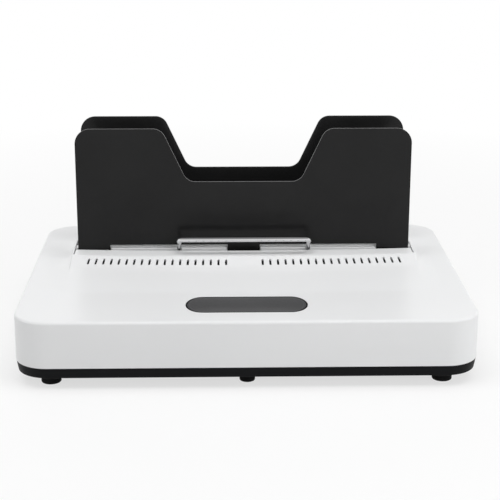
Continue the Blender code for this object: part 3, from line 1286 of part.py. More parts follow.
def build_inlet(plastic, brass):
    """Build the mains inlet in the rear pocket, and its three pins."""
    shape = bmesh.new()
    flange_back = POCKET_FLOOR + GAP + INLET_FLANGE_THICKNESS
    extrude(shape, 'Y', centred_outline(INLET_X, POCKET_CENTRE_Z, INLET_WIDTH, INLET_HEIGHT, -GAP),
            flange_back - INLET_LENGTH, flange_back - GAP)
    inlet = add_object("power_inlet", shape, plastic)
    flange = bmesh.new()
    rim = centred_outline(INLET_X, POCKET_CENTRE_Z, INLET_WIDTH, INLET_HEIGHT, INLET_FLANGE,
                          POCKET_CORNER / 2)
    extrude(flange, 'Y', rim, POCKET_FLOOR + GAP, flange_back)
    join(inlet, "inlet_flange", flange)
    socket = bmesh.new()
    extrude(socket, 'Y', socket_outline(), flange_back - SOCKET_DEPTH, flange_back + OVERRUN)
    cut(inlet, "inlet_socket", socket)
    pin_holes = bmesh.new()
    root = flange_back - INLET_LENGTH - PIN_TAIL_SHARE * PIN_LENGTH
    tip = flange_back - SOCKET_DEPTH + PIN_LENGTH
    pin_places = ((-PIN_SPACING, -1), (0.0, 1), (PIN_SPACING, -1))
    for number, (offset, raise_sign) in enumerate(pin_places, start=1):
        z = POCKET_CENTRE_Z + raise_sign * PIN_RAISE
        outline = centred_outline(INLET_X + offset, z, PIN_THICKNESS, PIN_WIDTH)
        pin = bmesh.new()
        extrude(pin, 'Y', outline, root, tip)
        add_object(f"inlet_pin_{number}", pin, brass)
        outline = centred_outline(INLET_X + offset, z, PIN_THICKNESS, PIN_WIDTH, GAP)
        extrude(pin_holes, 'Y', outline, flange_back - INLET_LENGTH - OVERRUN, tip)
    cut(inlet, "inlet_pin_holes", pin_holes)


def build_switch(plastic, rocker_plastic):
    """Build the power switch's frame and its rocker, tipped to the off side."""
    flange_back = POCKET_FLOOR + GAP + INLET_FLANGE_THICKNESS
    shape = bmesh.new()
    extrude(shape, 'Y', centred_outline(SWITCH_X, POCKET_CENTRE_Z, SWITCH_WIDTH, SWITCH_HEIGHT, -GAP),
            flange_back - SWITCH_LENGTH, flange_back - GAP)
    frame = add_object("switch_frame", shape, plastic)
    flange = bmesh.new()
    rim = centred_outline(SWITCH_X, POCKET_CENTRE_Z, SWITCH_WIDTH, SWITCH_HEIGHT, INLET_FLANGE,
                          POCKET_CORNER / 2)
    extrude(flange, 'Y', rim, POCKET_FLOOR + GAP, flange_back)
    join(frame, "switch_flange", flange)
    window = bmesh.new()
    extrude(window, 'Y',
            centred_outline(SWITCH_X, POCKET_CENTRE_Z, SWITCH_WIDTH, SWITCH_HEIGHT, -SWITCH_WALL),
            flange_back - SWITCH_LENGTH + SWITCH_WALL, flange_back + OVERRUN)
    cut(frame, "switch_window", window)

    half_height = SWITCH_HEIGHT / 2 - SWITCH_WALL - ROCKER_GAP
    half_width = SWITCH_WIDTH / 2 - SWITCH_WALL - ROCKER_GAP
    axis_y = flange_back - ROCKER_FACE
    pivot = add_empty("rocker_axis", (SWITCH_X, axis_y, POCKET_CENTRE_Z))
    sink = half_height * math.sin(ROCKER_TILT)
    reach = half_height * math.cos(ROCKER_TILT)
    face = ROCKER_FACE - sink
    turn = Matrix.Rotation(-ROCKER_TILT, 2)
    level = ((0, -reach), (face, -reach), (face - sink, 0), (face, reach), (0, reach), (-face, 0))
    corners = [turn @ Vector(corner) for corner in level]
    outline = [(axis_y + across, POCKET_CENTRE_Z + up) for across, up in corners]
    rocker = bmesh.new()
    extrude(rocker, 'X', outline, SWITCH_X - half_width, SWITCH_X + half_width)
    add_object("power_rocker", rocker, rocker_plastic, pivot.location, pivot)


def build():
    """Build the whole machine."""
    clear_scene()
    materials = {
        "white": make_material("white_moulding", WHITE, 0.42),
        "black": make_material("black_moulding", BLACK, 0.55),
        "rubber": make_material("foot_rubber", BLACK, 0.85),
        "coated": make_material("coated_steel", CHARCOAL, 0.3),
        "chrome": make_material("chromed_wire", STEEL, 0.08, 1.0),
        "steel": make_material("screw_steel", STEEL, 0.35, 1.0),
        "rod": make_material("ground_rod", STEEL, 0.15, 1.0),
        "zinc": make_material("zinc_sheet", STEEL, 0.45, 1.0),
        "aluminium": make_material("heater_aluminium", ALUMINIUM, 0.35, 1.0),
        "brass": make_material("bush_brass", BRASS, 0.3, 1.0),
        "mica": make_material("element_mica", MICA, 0.7),
        "phenolic": make_material("thermostat_body", PHENOLIC, 0.5),
        "board": make_material("board_laminate", BOARD_GREEN, 0.4),
        "panel": make_material("panel_film", SLATE, 0.35),
        "rocker": make_material("rocker_plastic", BLACK, 0.3),
    }
    build_upper_housing(materials["white"])
    build_base_tray(materials["black"])
    build_feet(materials["rubber"])
    build_case_screws(materials["steel"])
    slide = add_empty("carriage_slide", (0, BEARING_MIDDLE, ROD_Z))
    build_front_plate(materials["coated"], materials["steel"], slide)
    build_carriage(materials["white"], materials["brass"], slide)
    build_pull_bar(materials["chrome"], slide)
    build_rear_plate(materials["coated"], materials["steel"])
    build_guides(materials["rod"], materials["black"], materials["steel"])
    build_heater(materials)
    build_heat_controls(materials)
    build_touch_panel(materials["panel"])
    build_boards(materials)
    build_inlet(materials["black"], materials["brass"])
    build_switch(materials["black"], materials["rocker"])


build()
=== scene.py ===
"""Looks of the desktop thermal binding machine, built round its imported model.

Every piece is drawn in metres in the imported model's own frame: +X to the right of someone
who faces the front, -Y towards them, +Z up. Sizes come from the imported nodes' boxes where
a box holds them, and are named fields otherwise.
"""

import json
import logging
from dataclasses import dataclass
from enum import Enum
from typing import Sequence

import bmesh
import bpy
import numpy as np
from mathutils import Matrix, Vector
from mathutils.geometry import delaunay_2d_cdt


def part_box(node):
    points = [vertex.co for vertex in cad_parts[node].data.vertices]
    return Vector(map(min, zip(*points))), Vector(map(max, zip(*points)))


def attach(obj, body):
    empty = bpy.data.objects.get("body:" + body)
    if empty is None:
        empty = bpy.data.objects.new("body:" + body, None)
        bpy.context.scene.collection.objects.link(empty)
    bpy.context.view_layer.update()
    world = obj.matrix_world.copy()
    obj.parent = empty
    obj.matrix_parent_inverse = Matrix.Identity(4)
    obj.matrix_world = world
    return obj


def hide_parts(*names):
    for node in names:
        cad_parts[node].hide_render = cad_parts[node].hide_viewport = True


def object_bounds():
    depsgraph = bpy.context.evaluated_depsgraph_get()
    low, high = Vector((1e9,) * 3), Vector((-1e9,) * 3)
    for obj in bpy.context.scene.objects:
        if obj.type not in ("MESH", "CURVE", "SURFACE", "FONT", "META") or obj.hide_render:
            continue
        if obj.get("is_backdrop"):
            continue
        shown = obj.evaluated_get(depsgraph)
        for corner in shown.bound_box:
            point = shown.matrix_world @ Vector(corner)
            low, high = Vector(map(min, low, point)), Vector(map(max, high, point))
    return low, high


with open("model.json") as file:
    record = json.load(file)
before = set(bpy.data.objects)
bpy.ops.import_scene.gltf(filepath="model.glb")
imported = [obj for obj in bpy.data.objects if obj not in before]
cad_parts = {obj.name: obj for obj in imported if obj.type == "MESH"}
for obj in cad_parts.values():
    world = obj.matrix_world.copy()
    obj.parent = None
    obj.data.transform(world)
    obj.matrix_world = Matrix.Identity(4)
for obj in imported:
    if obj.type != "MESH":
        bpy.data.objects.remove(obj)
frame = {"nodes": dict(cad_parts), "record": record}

CAD_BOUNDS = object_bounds()
LOG = logging.getLogger("scene")

Array = np.ndarray

MM = 0.001
QUARTER = np.pi / 2
MERGE_DISTANCE = 2e-6
WHITE = (1.0, 1.0, 1.0, 1.0)

# Edges that turn by more degrees than this stay sharp, unless a piece says otherwise
SHARP = 38.0

# Corner radius of a slot's end, as a share of its width
ROUND_SHARE = 0.45

# Least cosine that an offset divides by, which keeps sharp corners from running far out
MITRE_LIMIT = 0.5

# Slack in a share, a place, a squared length and the triangulation
SHARE_SLACK = 1e-9
PLACE_SLACK = 1e-6
SQUARE_SLACK = 1e-18
JOIN_SLACK = 1e-7

# Points that far_from compares with an outline at a time
CHUNK = 2000


# Surfaces made with numpy

class Skin:
    """Collects patches of surface and turns them into one mesh object."""

    def __init__(self, name: str) -> None:
        """Start an empty skin.

        Args:
            name: the name of the object that it becomes.
        """
        self.name = name
        self.points: list[Array] = []
        self.faces: list[Array] = []
        self.count = 0

    def add(self, points: Array, faces: Array) -> None:
        """Add a patch.

        Args:
            points: places in metres, one row each.
            faces: rows of indices into those points.
        """
        self.points.append(np.asarray(points, float).reshape(-1, 3))
        self.faces.append(np.asarray(faces, int) + self.count)
        self.count += len(self.points[-1])

    def grid(self, points: Array, closed: bool = True) -> None:
        """Add a surface of quads between rings.

        Args:
            points: array of rings, each ring a row of places.
            closed: whether each ring's last place joins its first.
        """
        rings, around = points.shape[:2]
        index = np.arange(rings * around).reshape(rings, around)
        if closed:
            index = np.hstack([index, index[:, :1]])
        faces = np.stack([index[:-1, :-1], index[:-1, 1:], index[1:, 1:], index[1:, :-1]], axis=-1)
        self.add(points, faces.reshape(-1, 4))

    def cap(self, ring: Array) -> None:
        """Close a ring with one flat face."""
        self.add(ring, np.arange(len(ring))[None, :])

    def rings(self, axis: str, *pairs: tuple[Array, Array | float]) -> None:
        """Add a surface through flat outlines, each at its own place along an axis."""
        self.grid(np.array([laid(outline, axis, place) for outline, place in pairs]))

    def fill(self, axis: str, place: float, rim: Array, holes: Sequence[Array] = ()) -> None:
        """Add the flat region inside a rim and outside its holes, at a place along an axis."""
        flat, triangles = sheet(rim, holes)
        self.add(laid(flat, axis, place), triangles)

    def lathe(self, profile: Sequence[tuple[float, float]], centre: Sequence[float], axis: str = "Z",
              steps: int = 48) -> None:
        """Turn a profile about an axis line.

        Each point is centre + place * axis + radius * (cos a, sin a) across it, for the
        angle a once round.

        Args:
            profile: (radius, place along the axis) of each point.
            centre: the place that the profile is measured from.
            axis: the axis line's direction.
            steps: points once round.
        """
        angle = np.linspace(0.0, 2 * np.pi, steps, endpoint=False)
        radius, place = np.asarray(profile, float).T
        across = radius[:, None] * np.cos(angle)
        up = radius[:, None] * np.sin(angle)
        along = np.broadcast_to(place[:, None], across.shape)
        order = {"X": (along, across, up), "Y": (across, along, up), "Z": (across, up, along)}[axis]
        self.grid(np.stack(order, axis=-1) + np.asarray(centre, float))

    def tube(self, path: Array, radius: float, across: Array, steps: int = 28) -> None:
        """Sweep a circle along a path in space.

        At each point the circle is path + radius * (u * cos a + v * sin a), where u and v
        are square to the path and u lies as near as it can to the given direction.

        Args:
            path: the places along the middle of the tube.
            radius: the tube's radius.
            across: one direction for each place, not parallel to the path there.
            steps: places round the circle.
        """
        run = np.gradient(path, axis=0)
        run /= np.linalg.norm(run, axis=1)[:, None]
        u = across - run * (across * run).sum(axis=1)[:, None]
        u /= np.linalg.norm(u, axis=1)[:, None]
        v = np.cross(run, u)
        angle = np.linspace(0.0, 2 * np.pi, steps, endpoint=False)
        ring = u[:, None, :] * np.cos(angle)[:, None] + v[:, None, :] * np.sin(angle)[:, None]
        self.grid(path[:, None, :] + radius * ring)
        self.cap(path[0] + radius * ring[0])
        self.cap(path[-1] + radius * ring[-1])

    def mesh(self) -> bpy.types.Mesh:
        """Put all the patches into one mesh, from whole arrays.

        Returns:
            The mesh, with its patches not joined yet.
        """
        mesh = bpy.data.meshes.new(self.name)
        places = np.vstack(self.points)
        corners = np.concatenate([block.ravel() for block in self.faces])
        widths = np.concatenate([np.full(len(block), block.shape[1]) for block in self.faces])
        starts = np.concatenate([[0], np.cumsum(widths)[:-1]])
        mesh.vertices.add(len(places))
        mesh.vertices.foreach_set("co", places.ravel())
        mesh.loops.add(len(corners))
        mesh.loops.foreach_set("vertex_index", corners)
        mesh.polygons.add(len(widths))
        mesh.polygons.foreach_set("loop_start", starts)
        mesh.update(calc_edges=True)
        return mesh

    def build(self, finish: bpy.types.Material, sharp: float = SHARP) -> bpy.types.Object:
        """Return the finished object.

        Args:
            finish: the material of every face.
            sharp: edges that turn by more than this many degrees stay sharp.

        Returns:
            The object, at the origin, with its place in its mesh.
        """
        mesh = self.mesh()
        shape = bmesh.new()
        shape.from_mesh(mesh)
        bmesh.ops.remove_doubles(shape, verts=shape.verts, dist=MERGE_DISTANCE)
        bmesh.ops.dissolve_degenerate(shape, edges=shape.edges, dist=MERGE_DISTANCE / 2)
        bmesh.ops.recalc_face_normals(shape, faces=shape.faces)
        open_edges = sum(1 for edge in shape.edges if len(edge.link_faces) != 2)
        shape.to_mesh(mesh)
        shape.free()
        mesh.shade_smooth()
        mesh.set_sharp_from_angle(angle=np.radians(sharp))
        mesh.materials.append(finish)
        item = bpy.data.objects.new(self.name, mesh)
        bpy.context.scene.collection.objects.link(item)
        LOG.info("%s: %d points, %d open edges", self.name, len(mesh.vertices), open_edges)
        return item


def arc_steps(start: float, end: float, steps: int) -> Array:
    """Return even angles in radians from start to end, given in quarter turns."""
    return np.linspace(start * QUARTER, end * QUARTER, steps + 1)


def rounded_corners(corners: Sequence[tuple[float, float, float]], steps: int = 8) -> Array:
    """Round the corners of a closed outline.

    Each corner is an arc that touches its two sides: centre + radius * (cos a, sin a).

    Args:
        corners: (u, v, radius) of each corner. A radius of 0 leaves it sharp.
        steps: steps along each arc.

    Returns:
        The outline, in the plane.
    """
    points = []
    count = len(corners)
    for index, (u, v, radius) in enumerate(corners):
        here = Vector((u, v))
        if radius <= 0.0:
            points.append(np.array([[u, v]]))
            continue
        before = (Vector(corners[index - 1][:2]) - here).normalized()
        after = (Vector(corners[(index + 1) % count][:2]) - here).normalized()
        half = before.angle(after) / 2
        centre = here + (before + after).normalized() * (radius / np.sin(half))
        start = here + before * (radius / np.tan(half)) - centre
        end = here + after * (radius / np.tan(half)) - centre
        turn = start.angle_signed(end)
        first = np.arctan2(start.y, start.x)
        angle = first - turn * np.linspace(0.0, 1.0, steps + 1)
        arc_u = centre.x + radius * np.cos(angle)
        arc_v = centre.y + radius * np.sin(angle)
        points.append(np.column_stack([arc_u, arc_v]))
    return np.vstack(points)


def rounded_rectangle(centre: Sequence[float], size: Sequence[float], radius: float,
                      steps: int = 8) -> Array:
    """Draw a rectangle with round corners.

    Args:
        centre: its middle in the plane.
        size: its two sides.
        radius: its corners' radius.
        steps: steps along each corner.

    Returns:
        Its outline, anticlockwise from its lower left.
    """
    u, v = centre
    half_u, half_v = size[0] / 2, size[1] / 2
    corners = [(u - half_u, v - half_v, radius), (u + half_u, v - half_v, radius),
               (u + half_u, v + half_v, radius), (u - half_u, v + half_v, radius)]
    return rounded_corners(corners, steps)


def subdivided(outline: Array, spacing: float) -> Array:
    """Add points to a closed outline where two of them lie far apart.

    A side of length l is split evenly into the least whole number of steps that isn't
    less than l / spacing.

    Args:
        outline: the closed outline.
        spacing: the longest side that is left whole.

    Returns:
        The outline with its added points.
    """
    following = np.roll(outline, -1, axis=0)
    length = np.linalg.norm(following - outline, axis=1)
    parts = []
    for start, end, run in zip(outline, following, length):
        steps = max(1, int(np.ceil(run / spacing - SHARE_SLACK)))
        share = np.arange(steps)[:, None] / steps
        parts.append(start + (end - start) * share)
    return np.vstack(parts)


def outward(outline: Array) -> Array:
    """Find the directions that point out of an outline, in its plane.

    At each point the unit normals of its two sides are averaged and lengthened, so that
    an offset moves both sides by the same distance.

    Args:
        outline: the closed outline, anticlockwise.

    Returns:
        One direction for each point.
    """
    side = np.roll(outline, -1, axis=0) - outline
    normal = np.column_stack([side[:, 1], -side[:, 0]])
    normal /= np.linalg.norm(normal, axis=1)[:, None]
    mean = normal + np.roll(normal, 1, axis=0)
    mean /= np.linalg.norm(mean, axis=1)[:, None]
    spread = np.clip((mean * normal).sum(axis=1), MITRE_LIMIT, 1.0)
    return mean / spread[:, None]


def offset(outline: Array, distance: float) -> Array:
    """Return an anticlockwise outline moved outwards by a distance."""
    return outline + outward(outline) * distance


def inside(points: Array, outline: Array) -> Array:
    """Find the points that lie in an outline: those with an odd count of sides to their right.

    Args:
        points: places in the plane, one row each.
        outline: the closed outline.

    Returns:
        True for each point that lies inside.
    """
    found = np.zeros(len(points), bool)
    low, high = outline.min(axis=0), outline.max(axis=0)
    near = np.flatnonzero(((points >= low) & (points <= high)).all(axis=1))
    if not len(near):
        return found
    x, y = points[near, 0][:, None], points[near, 1][:, None]
    ax, ay = outline.T
    bx, by = np.roll(outline, -1, axis=0).T
    crosses = (ay > y) != (by > y)
    rise = np.where(by == ay, 1.0, by - ay)
    meets = x < (bx - ax) * (y - ay) / rise + ax
    found[near] = (crosses & meets).sum(axis=1) % 2 == 1
    return found


def far_from(points: Array, outline: Array, distance: float) -> Array:
    """Find the points that lie at least a distance away from every side of an outline.

    A side's nearest place to a point is start + share * run, with the share of the point's
    reach along the side, kept between 0 and 1.

    Args:
        points: places in the plane, one row each.
        outline: the closed outline.
        distance: the least distance.

    Returns:
        True for each point that lies far enough.
    """
    keep = np.ones(len(points), bool)
    low, high = outline.min(axis=0) - distance, outline.max(axis=0) + distance
    near = np.flatnonzero(((points >= low) & (points <= high)).all(axis=1))
    start = outline
    run = np.roll(outline, -1, axis=0) - outline
    squared = np.maximum((run ** 2).sum(axis=1), SQUARE_SLACK)
    for chunk in np.array_split(near, max(1, len(near) // CHUNK)):
        reach = points[chunk][:, None, :] - start
        share = np.clip((reach * run).sum(axis=2) / squared, 0.0, 1.0)
        gap = reach - run * share[..., None]
        keep[chunk] = ((gap ** 2).sum(axis=2) >= distance ** 2).all(axis=1)
    return keep


def sheet(rim: Array, holes: Sequence[Array] = (), inner: Array | None = None,
          clearance: float = 0.0) -> tuple[Array, Array]:
    """Triangulate the flat region inside a rim and outside its holes.

    Args:
        rim: the outer outline.
        holes: the outlines of what is left open.
        inner: further points to use inside the region.
        clearance: further points nearer than this to an outline are dropped.

    Returns:
        The points in the plane, and the triangles as rows of indices.
    """
    outlines = [rim, *holes]
    points = list(outlines)
    if inner is not None:
        keep = inside(inner, rim)
        for hole in holes:
            keep &= ~inside(inner, hole)
        inner = inner[keep]
        for outline in outlines:
            inner = inner[far_from(inner, outline, clearance)]
        points.append(inner)
    edges = []
    first = 0
    for outline in outlines:
        index = first + np.arange(len(outline))
        edges.append(np.column_stack([index, np.roll(index, -1)]))
        first += len(outline)
    flat = np.vstack(points)
    centre, size = flat.mean(axis=0), np.ptp(flat, axis=0).max()
    scaled = [Vector(place) for place in ((flat - centre) / size).tolist()]
    result = delaunay_2d_cdt(scaled, np.vstack(edges).tolist(), [], 0, JOIN_SLACK, True)
    source = np.array([ids[0] if ids else -1 for ids in result[3]])
    triangles = source[np.array([face for face in result[2] if len(face) == 3])]
    triangles = triangles[(triangles >= 0).all(axis=1)]
    middle = flat[triangles].mean(axis=1)
    keep = inside(middle, rim)
    for hole in holes:
        keep &= ~inside(middle, hole)
    return flat, triangles[keep]


def laid(flat: Array, axis: str, place: Array | float) -> Array:
    """Stand points of a plane in space.

    Args:
        flat: the points, as (Y, Z) for the axis X, (X, Z) for Y and (X, Y) for Z.
        axis: the axis across the plane.
        place: where they lie along it, one number or one for each point.

    Returns:
        The places in space.
    """
    across = np.broadcast_to(np.asarray(place, float), flat.shape[:-1])
    u, v = flat[..., 0], flat[..., 1]
    order = {"X": (across, u, v), "Y": (u, across, v), "Z": (u, v, across)}[axis]
    return np.stack(order, axis=-1)


def rolled(radius: float, steps: int = 4) -> list[tuple[float, float]]:
    """Return a round edge as pairs (radius * (1 - sin a), radius * (1 - cos a)), a over a quarter."""
    turn = arc_steps(0.0, 1.0, steps)
    return list(zip(radius * (1 - np.sin(turn)), radius * (1 - np.cos(turn))))


def middle_of(node: str) -> Array:
    """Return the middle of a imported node's box."""
    low, high = np.array(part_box(node), float)
    return (low + high) / 2


def slab(skin: Skin, axis: str, outline: Array, low: float, high: float, edge: float,
         holes: Sequence[Array] = ()) -> None:
    """Add a flat plate with rounded edges and straight holes to a skin.

    Across the edge the outline is drawn in by edge * (1 - cos a) while the place runs by
    edge * (1 - sin a), for the angle a over a quarter turn at either face.

    Args:
        skin: the skin that the plate joins.
        axis: the axis across the plate.
        outline: its outline, anticlockwise.
        low: place of its lower face along the axis.
        high: place of its upper face.
        edge: radius of its edges.
        holes: the outlines of its holes.
    """
    roll = rolled(edge)
    skin.rings(axis, *[(offset(outline, -inset), low + drop) for drop, inset in reversed(roll)],
               *[(offset(outline, -inset), high - drop) for drop, inset in roll])
    flat, triangles = sheet(offset(outline, -edge), holes)
    skin.add(laid(flat, axis, low), triangles)
    skin.add(laid(flat, axis, high), triangles)
    for hole in holes:
        skin.rings(axis, (hole, low), (hole, high))


# Materials

# Detail and roughness of the noise that makes a fine relief
SHARP_NOISE = (4.0, 0.6)
SOFT_NOISE = (1.0, 0.4)

# Range that nearly all of a noise's values lie in
NOISE_SPAN = (0.3, 0.7)

# Detail of the noise behind colour and gloss, and the gloss's grain as a share of the relief's
COLOUR_DETAIL = 3.0
GLOSS_DETAIL = 4.0
GLOSS_FINENESS = 0.25


class Grain(Enum):
    """The kinds of fine relief a finish may have."""

    MOULDED = "moulded"
    COATED = "coated"
    DRAWN = "drawn"

    def noise(self) -> tuple[float, float]:
        """Return the detail and roughness of the relief's noise."""
        return SOFT_NOISE if self is Grain.COATED else SHARP_NOISE


def add_node(tree: bpy.types.NodeTree, kind: str, **values: object) -> bpy.types.Node:
    """Add a shader node and set its sockets.

    Args:
        tree: the tree that it joins.
        kind: the node's type, without ShaderNode before it.
        values: the sockets' values by their names, with _ for a space.

    Returns:
        The node.
    """
    node = tree.nodes.new(f"ShaderNode{kind}")
    for name, value in values.items():
        node.inputs[name.replace("_", " ")].default_value = value
    return node


@dataclass(frozen=True)
class Finish:
    """How one material looks, from its colour to its finest relief.

    Args:
        slot: the record's material slot.
        tone: base colour, linear.
        spread: how far the colour strays from the tone, as a share of it.
        patch: size in metres of the patches that differ.
        roughness: lowest and highest roughness over the surface.
        grain: kind of fine relief.
        grain_size: size in metres of the relief.
        relief: depth in metres of the relief.
        stretch: how many times finer the relief is along each axis.
        metallic: 1 for bare metal.
        specular: specular level of the shader.
    """

    slot: str
    tone: tuple[float, float, float]
    spread: float = 0.03
    patch: float = 0.03
    roughness: tuple[float, float] = (0.30, 0.36)
    grain: Grain = Grain.MOULDED
    grain_size: float = 0.0005
    relief: float = 0.00001
    stretch: tuple[float, float, float] = (1.0, 1.0, 1.0)
    metallic: float = 0.0
    specular: float = 0.5

    def material(self) -> bpy.types.Material:
        """Build the node material of this finish.

        Returns:
            The material, whose patterns lie on Object coordinates.
        """
        material = bpy.data.materials.new(f"finish_{self.slot}")
        material.use_nodes = True
        tree = material.node_tree
        shader = tree.nodes["Principled BSDF"]
        shader.inputs["Metallic"].default_value = self.metallic
        shader.inputs["Specular IOR Level"].default_value = self.specular
        place = add_node(tree, "TexCoord").outputs["Object"]
        mapping = add_node(tree, "Mapping", Scale=self.stretch)
        tree.links.new(place, mapping.inputs["Vector"])
        self.colour(tree, place, shader.inputs["Base Color"])
        self.gloss(tree, mapping.outputs["Vector"], shader.inputs["Roughness"])
        self.surface(tree, mapping.outputs["Vector"], shader.inputs["Normal"])
        return material

    def colour(self, tree: bpy.types.NodeTree, place: bpy.types.NodeSocket,
               target: bpy.types.NodeSocket) -> None:
        """Let the base colour stray a little from the tone, in soft patches.

        Args:
            tree: the material's nodes.
            place: the socket that gives the place on the piece.
            target: the shader's socket for the colour.
        """
        noise = add_node(tree, "TexNoise", Scale=1.0 / self.patch, Detail=COLOUR_DETAIL)
        ramp = add_node(tree, "ValToRGB")
        low, high = ramp.color_ramp.elements
        low.position, high.position = NOISE_SPAN
        low.color = (*[part * (1 - self.spread) for part in self.tone], 1.0)
        high.color = (*[min(1.0, part * (1 + self.spread)) for part in self.tone], 1.0)
        tree.links.new(place, noise.inputs["Vector"])
        tree.links.new(noise.outputs["Fac"], ramp.inputs["Fac"])
        tree.links.new(ramp.outputs["Color"], target)

    def gloss(self, tree: bpy.types.NodeTree, place: bpy.types.NodeSocket,
              target: bpy.types.NodeSocket) -> None:
        """Let the roughness vary between its two ends.

        Args:
            tree: the material's nodes.
            place: the socket that gives the stretched place on the piece.
            target: the shader's socket for the roughness.
        """
        noise = add_node(tree, "TexNoise", Scale=GLOSS_FINENESS / self.grain_size, Detail=GLOSS_DETAIL)
        spread = add_node(tree, "MapRange", From_Min=NOISE_SPAN[0], From_Max=NOISE_SPAN[1],
                          To_Min=self.roughness[0], To_Max=self.roughness[1])
        tree.links.new(place, noise.inputs["Vector"])
        tree.links.new(noise.outputs["Fac"], spread.inputs["Value"])
        tree.links.new(spread.outputs["Result"], target)

    def surface(self, tree: bpy.types.NodeTree, place: bpy.types.NodeSocket,
                target: bpy.types.NodeSocket) -> None:
        """Raise the fine relief of the finish with a bump.

        Args:
            tree: the material's nodes.
            place: the socket that gives the stretched place on the piece.
            target: the shader's socket for the normal.
        """
        detail, roughness = self.grain.noise()
        relief = add_node(tree, "TexNoise", Scale=1.0 / self.grain_size, Detail=detail, Roughness=roughness)
        bump = add_node(tree, "Bump", Distance=self.relief)
        tree.links.new(place, relief.inputs["Vector"])
        tree.links.new(relief.outputs["Fac"], bump.inputs["Height"])
        tree.links.new(bump.outputs["Normal"], target)


# How drawn sheet and wire, ground rods and turned bushes stretch their relief
DRAWN = (0.04, 1.0, 1.0)
GROUND = (1.0, 12.0, 1.0)
TURNED = (1.0, 10.0, 1.0)

FINISHES = (
    Finish("white_moulding", tone=(0.80, 0.805, 0.81), spread=0.006, patch=0.08, relief=0.000004,
           specular=0.25),
    Finish("black_moulding", tone=(0.0040, 0.0043, 0.0050), spread=0.12, patch=0.05,
           roughness=(0.46, 0.56), grain_size=0.0007, relief=0.00002, specular=0.10),
    Finish("foot_rubber", tone=(0.0045, 0.0046, 0.0048), spread=0.15, patch=0.01,
           roughness=(0.72, 0.86), grain_size=0.0009, relief=0.00003, specular=0.16),
    Finish("coated_steel", tone=(0.0128, 0.0128, 0.0130), spread=0.08, patch=0.04,
           roughness=(0.20, 0.26), grain=Grain.COATED, grain_size=0.0022, relief=0.000006,
           specular=0.17),
    Finish("chromed_wire", tone=(0.68, 0.68, 0.69), spread=0.02, patch=0.02, roughness=(0.05, 0.09),
           grain=Grain.DRAWN, grain_size=0.0006, relief=0.000001, stretch=DRAWN, metallic=1.0),
    Finish("screw_steel", tone=(0.60, 0.60, 0.58), spread=0.08, patch=0.003, roughness=(0.26, 0.40),
           grain_size=0.0003, relief=0.000008, metallic=1.0),
    Finish("ground_rod", tone=(0.66, 0.66, 0.67), spread=0.03, patch=0.02, roughness=(0.10, 0.20),
           grain=Grain.DRAWN, grain_size=0.0004, relief=0.000003, stretch=GROUND, metallic=1.0),
    Finish("zinc_sheet", tone=(0.62, 0.63, 0.64), spread=0.10, patch=0.012, roughness=(0.32, 0.50),
           grain=Grain.DRAWN, grain_size=0.0006, relief=0.000006, stretch=DRAWN, metallic=1.0),
    Finish("heater_aluminium", tone=(0.72, 0.73, 0.74), spread=0.05, patch=0.02, roughness=(0.26, 0.40),
           grain=Grain.DRAWN, grain_size=0.0005, relief=0.000008, stretch=DRAWN, metallic=1.0),
    Finish("bush_brass", tone=(0.72, 0.56, 0.28), spread=0.06, patch=0.004, roughness=(0.22, 0.34),
           grain=Grain.DRAWN, grain_size=0.0003, relief=0.000004, stretch=TURNED, metallic=1.0),
    Finish("element_mica", tone=(0.55, 0.50, 0.40), spread=0.18, patch=0.006, roughness=(0.5, 0.7),
           grain_size=0.002, relief=0.00002),
    Finish("thermostat_body", tone=(0.06, 0.05, 0.05), spread=0.12, patch=0.004, roughness=(0.42, 0.56),
           grain_size=0.0006),
    Finish("board_laminate", tone=(0.03, 0.16, 0.07), spread=0.10, patch=0.006, roughness=(0.30, 0.42),
           grain_size=0.0008, relief=0.000008),
    Finish("panel_film", tone=(0.066, 0.066, 0.068), grain_size=0.0006, relief=0.000004),
    Finish("panel_line", tone=(0.15, 0.15, 0.152), spread=0.05, patch=0.01, grain_size=0.0006,
           relief=0.000004),
    Finish("rocker_mark", tone=(0.70, 0.70, 0.70), spread=0.04, patch=0.004, roughness=(0.40, 0.50),
           relief=0.000002),
    Finish("rocker_plastic", tone=(0.012, 0.013, 0.015), spread=0.10, patch=0.02,
           roughness=(0.16, 0.24), grain_size=0.0012, relief=0.000004),
)

FLOOR_FINISH = Finish("studio_floor", tone=(0.86, 0.86, 0.86), spread=0.004, patch=0.4,
                      roughness=(0.5, 0.6), relief=0.000002)


class Palette:
    """Holds the machine's materials by the record's slots, and dresses nodes with them."""

    def __init__(self, finishes: Sequence[Finish]) -> None:
        """Build every finish once.

        Args:
            finishes: the finishes, each under its own slot.
        """
        self.materials = {finish.slot: finish.material() for finish in finishes}
        self.slots = {node: entry["slot"] for entry in frame["record"]["materials"]
                      for node in entry.get("nodes", ())}

    def dress_nodes(self) -> None:
        """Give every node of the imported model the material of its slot."""
        for name, node in frame["nodes"].items():
            own = node.data.materials[0].name if node.data.materials else ""
            slot = self.slots.get(name) or own.split(".")[0]
            for index in range(len(node.data.materials)):
                node.data.materials[index] = self.materials[slot]

    def place(self, skin: Skin, finish: str, body: str, *nodes: str, slot: str = "",
              sharp: float = SHARP) -> None:
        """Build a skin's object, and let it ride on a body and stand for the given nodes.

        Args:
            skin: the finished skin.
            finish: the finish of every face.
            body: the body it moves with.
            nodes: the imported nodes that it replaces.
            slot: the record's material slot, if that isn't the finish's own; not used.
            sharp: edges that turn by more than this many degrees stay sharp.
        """
        item = skin.build(self.materials[finish], sharp)
        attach(item, body)
        if nodes:
            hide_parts(*nodes)


# Main measures

